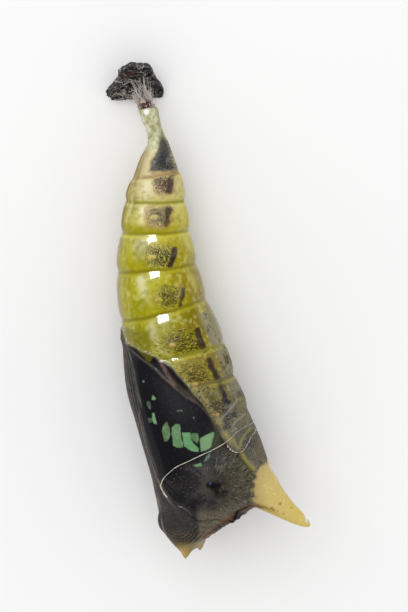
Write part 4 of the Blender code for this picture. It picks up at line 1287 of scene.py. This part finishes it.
def bark_material():
    material, n, shader = new_material("bark_dark")
    tone = n.attribute("tone").outputs["Color"]
    place = n.place_mm()
    fine = n.noise(place, 9.0, 4.0, 0.65)
    sharp = n.noise(place, 4.5, 5.0, 0.75)
    colour = n.mix(n.ease(sharp, 0.54, 0.63, 0.0, 0.6), tone, (0.36, 0.335, 0.325, 1.0))
    colour = n.mix(n.ease(fine, 0.4, 0.52, 0.75, 0.0), colour, (0.003, 0.002, 0.003, 1.0))
    n.join(colour, shader.inputs["Base Color"])
    n.join(n.ease(fine, 0.3, 0.7, 0.75, 0.45), shader.inputs["Roughness"])
    shader.inputs["Specular IOR Level"].default_value = 0.3
    set_bump(n, shader, fine, 0.7, 0.00005)
    return material


class CHRYSALIS_OT_bark(bpy.types.Operator):
    """The chip of dark bark that the silk pad is spun on"""

    bl_idname = "chrysalis.bark"
    bl_label = "Bark chip"

    def execute(self, context):
        settings = context.scene.chrysalis
        piece = node_copy("bark_chip", "bark_chip_piece")
        points, normals = resculpt(piece, CHIP, CHIP_VOXEL, CHIP_ROUNDS)
        x, y, _ = points.T
        rng = np.random.default_rng(23)
        # rings of old crust: small craters with raised lips, crowded on the chip's left side
        centres = np.stack([rng.uniform(-3.0, 1.3, 70), rng.uniform(0.0, 4.6, 70)], axis=1)
        radii = rng.uniform(0.12, 0.3, 70)
        lip, pit = np.zeros(len(x)), np.zeros(len(x))
        warp_x = x + 0.1 * lattice_noise(points, 0.3, 71)
        warp_y = y + 0.1 * lattice_noise(points, 0.3, 72)
        for (cx, cy), radius in zip(centres, radii):
            d = np.hypot(warp_x - cx, (warp_y - cy) * 1.1)
            lip = np.maximum(lip, hump(d, radius, 0.055))
            pit = np.maximum(pit, 1.0 - ease(d, radius * 0.55, radius))
        lip *= 1.0 - 0.8 * pit
        rough = (lattice_noise(points, 0.5, 73) * 0.06 + lattice_noise(points, 0.2, 74) * 0.05
                 + lattice_noise(points, 0.11, 75) * 0.03)
        outward = ease(normals[:, 2], 0.2, 0.8)
        relief = rough + outward * (0.07 * lip - 0.05 * pit) - 0.05
        black = np.array(tuple(settings.bark_black))
        tone = np.tile(black, (len(x), 1))

        def lay(mask, shade):
            tone[:] += (np.asarray(linear(shade)) - tone) * mask[:, None]

        lay(ease(lattice_noise(points, 0.5, 76), 0.0, 0.7) * 0.4, (0.2, 0.17, 0.17))
        lay(ease(lip + 0.35 * lattice_noise(points, 0.15, 81), 0.55, 0.95) * 0.85, (0.62, 0.6, 0.59))
        lay(pit * 0.6, (0.03, 0.03, 0.035))
        orange = (hump(np.hypot((x + 1.25) / 1.15, (y - 3.55) / 0.48), 0.0, 1.0)
                  * ease(lattice_noise(points, 0.3, 77), -0.35, 0.35))
        lay(orange * 0.9, (0.36, 0.17, 0.07))
        lay(orange * pit * 0.7, (0.04, 0.03, 0.03))
        lower = ease(0.95 - y - 0.22 * (x + 2.6), 0.0, 0.25) * ease(-0.3 - x, 0.0, 0.3)
        lay(lower * ease(lattice_noise(points, 0.25, 78), -0.6, 0.2) * 0.8, (0.56, 0.54, 0.53))
        edge = (1.0 - outward) * ease(lattice_noise(points, 0.3, 79), -0.2, 0.5)
        lay(edge * 0.5, (0.38, 0.36, 0.35))
        right = ease(x, 0.1, 0.8) * ease(lattice_noise(points, 0.35, 80), -0.1, 0.5)
        lay(right * 0.4, (0.4, 0.38, 0.37))
        store_colour(piece.data, "tone", tone)
        put_back(piece, points + normals * relief[:, None], CHIP)
        piece.data.materials.append(bark_material())
        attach(piece, "root")
        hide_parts("bark_chip")
        return {"FINISHED"}


# ---- the girdle ----

class CHRYSALIS_OT_girdle(bpy.types.Operator):
    """The silk girdle over the wing cases, its thick loose end and the loose loop on the back"""

    bl_idname = "chrysalis.girdle"
    bl_label = "Silk girdle"

    def execute(self, context):
        pieces = []
        for name, node, route, seed in (
            ("girdle_strand_silk", "girdle_strand", STRAND_ROUTE, 5), ("girdle_loop_silk", "girdle_loop", LOOP_ROUTE,
                                                                       6),
        ):
            rng = np.random.default_rng(seed)
            steps = 14 * (len(route) - 1)
            rows = catmull_rom(np.array(route, float), np.linspace(0, len(route) - 1, steps))
            middle = carried(body_points(rows[:, 0], rows[:, 1], STRAND_LIFT), LYING)
            ways = np.gradient(middle, axis=0)
            ways /= np.linalg.norm(ways, axis=1)[:, None]
            side = np.cross(ways, (0.1, 0.2, 0.97))
            side /= np.linalg.norm(side, axis=1)[:, None]
            other = np.cross(ways, side)
            share = np.linspace(0, 1, steps)
            thick = np.full(steps, 0.55)
            if node == "girdle_strand":
                thick += 0.85 * ease(share, 0.72, 0.84) * (1 - 0.35 * ease(share, 0.97, 1.0))
                thick *= 0.85 + 0.12 * np.sin(share * 60)
                thick *= 0.45 + 0.55 * ease(share, 0.34, 0.46)
            else:
                thick *= 0.45 + 0.35 * ease(share, 0.55, 0.75)
            verts, faces = [], []
            for fibre in range(STRAND_FIBRES):
                phase, pitch = rng.uniform(0, 2 * math.pi), rng.uniform(0.7, 1.1)
                turn = phase + share * steps * 0.05 * 2 * math.pi * pitch
                out = STRAND_RADIUS * 0.52 * thick * (1 + 0.25 * np.sin(share * 47 + fibre))
                path = middle + (side * np.cos(turn)[:, None] + other * np.sin(turn)[:, None]) * out[:, None]
                tube(path, STRAND_RADIUS * 0.5 * thick, 6, verts, faces)
            piece = new_piece(name, np.array(verts) * MM, faces)
            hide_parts(node)
            pieces.append(piece)
        # the knot where the loop is stuck to the ridge
        verts, faces = [], []
        rng = np.random.default_rng(7)
        rows = catmull_rom(np.array(LOOP_ROUTE, float), np.array([0.03, 4.0, 4.6, 5.2, 5.9]))
        spots = carried(body_points(rows[:, 0], rows[:, 1], KNOT_LIFT), LYING)
        for spot, size in zip(spots, (0.045, 0.04, 0.045, 0.06, 0.06)):
            for _ in range(3):
                centre = spot + rng.normal(0, 0.035, 3)
                long = rng.normal(0, 1, 3)
                long /= np.linalg.norm(long)
                reach = np.linspace(-1, 1, 7)
                path = [centre + long * size * r * 0.9 for r in reach]
                tube(path, [size * 0.55 * math.sqrt(max(0.02, 1 - r * r)) for r in reach], 7, verts, faces)
        pieces.append(new_piece("girdle_knots", np.array(verts) * MM, faces))
        white = linear((0.9, 0.87, 0.8))
        material, _, _ = plain_material("girdle_silk", white, linear((0.72, 0.66, 0.56)), 6.0, 0.35, 0.3, 0.00001,
                                        0.3)
        for piece in pieces:
            piece.data.materials.append(material)
            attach(piece, "root")
        return {"FINISHED"}


# ---- floor, light and camera ----

CAMERA_LEAN = math.radians(10.0)
CAMERA_ROLL = math.radians(0.25)
CAMERA_AT = (-0.302, 33.54, 192.03)  # in mm
CAMERA_LENS = 148.9
FLOOR_SIZE, FLOOR_BELOW = 4.0, 0.00002  # the floor lies a hair under what rests on it
GLOSSY_SKY = 0.06  # how bright the surroundings are in reflections
LIGHTS = (  # name, way to it, distance, size, watts, lights surfaces, shows in reflections
    ("key_soft", (-0.3, 0.5, 0.85), 0.4, (0.4, 0.4), 0.45, True, False),
    ("key_glint", (-0.2, 0.6, 0.78), 0.3, (0.135, 0.07), 2.8, False, True),
    ("side_glint", (0.8, 0.25, 0.6), 0.4, (0.04, 0.24), 0.06, False, True),
)


class CHRYSALIS_OT_stage(bpy.types.Operator):
    """The pale floor, the soft studio lights and the camera"""

    bl_idname = "chrysalis.stage"
    bl_label = "Stage"

    def execute(self, context):
        scene = context.scene
        bpy.ops.object.select_all(action="DESELECT")
        bpy.ops.mesh.primitive_plane_add(size=FLOOR_SIZE, location=(0.0, 0.0, 0.0))
        floor = context.object
        floor.name = "floor"
        floor.data.transform(Matrix.Translation((0.0, 0.0, -FLOOR_BELOW)))
        material, n, shader = new_material("floor_white")
        noise = n.noise(n.add("ShaderNodeTexCoord").outputs["Object"], 40.0)
        n.join(n.mix(n.ease(noise, 0.3, 0.7), (0.97, 0.97, 0.97, 1.0), (0.98, 0.98, 0.98, 1.0)),
               shader.inputs["Base Color"])
        shader.inputs["Roughness"].default_value = 0.9
        shader.inputs["Specular IOR Level"].default_value = 0.1
        floor.data.materials.append(material)

        world = bpy.data.worlds.new("studio")
        world.use_nodes = True
        n = Nodes(world.node_tree)
        background, out = n.add("ShaderNodeBackground"), n.add("ShaderNodeOutputWorld")
        glossy = n.add("ShaderNodeLightPath").outputs["Is Glossy Ray"]
        n.join(n.ease(glossy, 0.0, 1.0, 1.0, GLOSSY_SKY), background.inputs["Strength"])
        n.join(background.outputs[0], out.inputs["Surface"])
        scene.world = world
        for name, way, far, size, power, on_surfaces, in_reflections in LIGHTS:
            data = bpy.data.lights.new(name, "AREA")
            data.shape, (data.size, data.size_y), data.energy = "RECTANGLE", size, power
            light = bpy.data.objects.new(name, data)
            way = Vector(way).normalized()
            light.location = way * far
            light.rotation_euler = way.to_track_quat("Z", "Y").to_euler()
            light.visible_diffuse, light.visible_glossy = on_surfaces, in_reflections
            scene.collection.objects.link(light)

        data = bpy.data.cameras.new("camera")
        data.lens, data.sensor_width = CAMERA_LENS, 36.0
        data.clip_start, data.clip_end = 0.01, 10.0
        camera = bpy.data.objects.new("camera", data)
        turn = Matrix.Rotation(-CAMERA_LEAN, 4, "X") @ Matrix.Rotation(-CAMERA_ROLL, 4, "Z")
        camera.matrix_world = Matrix.Translation(Vector(CAMERA_AT) * MM) @ turn
        scene.collection.objects.link(camera)
        scene.camera = camera
        scene.view_settings.view_transform = "Standard"
        return {"FINISHED"}


class CHRYSALIS_PT_panel(bpy.types.Panel):
    """The pieces, in the order they are made"""

    bl_idname = "CHRYSALIS_PT_panel"
    bl_label = "Chrysalis"
    bl_space_type = "VIEW_3D"
    bl_region_type = "UI"
    bl_category = "Chrysalis"

    def draw(self, context):
        column = self.layout.column()
        settings = context.scene.chrysalis
        for name in ("skin_voxel", "wing_ink", "horn_cream", "sap_green", "border_depth"):
            column.prop(settings, name)
        column.operator("chrysalis.skin")
        column.prop(settings, "hooks")
        column.operator("chrysalis.hooks")
        column.prop(settings, "silk_fibres")
        column.prop(settings, "silk_white")
        column.operator("chrysalis.silk_pad")
        column.prop(settings, "bark_black")
        column.operator("chrysalis.bark")
        column.operator("chrysalis.girdle")
        column.operator("chrysalis.stage")


CLASSES = (
    ChrysalisSettings, CHRYSALIS_OT_skin, CHRYSALIS_OT_hooks, CHRYSALIS_OT_silk_pad, CHRYSALIS_OT_bark,
    CHRYSALIS_OT_girdle, CHRYSALIS_OT_stage, CHRYSALIS_PT_panel,
)


def register():
    for cls in CLASSES:
        bpy.utils.register_class(cls)
    bpy.types.Scene.chrysalis = PointerProperty(type=ChrysalisSettings)


def unregister():
    del bpy.types.Scene.chrysalis
    for cls in reversed(CLASSES):
        bpy.utils.unregister_class(cls)


def main():
    register()
    bpy.ops.chrysalis.skin()
    bpy.ops.chrysalis.hooks()
    bpy.ops.chrysalis.silk_pad()
    bpy.ops.chrysalis.bark()
    bpy.ops.chrysalis.girdle()
    bpy.ops.chrysalis.stage()


if __name__ == "__main__":
    main()
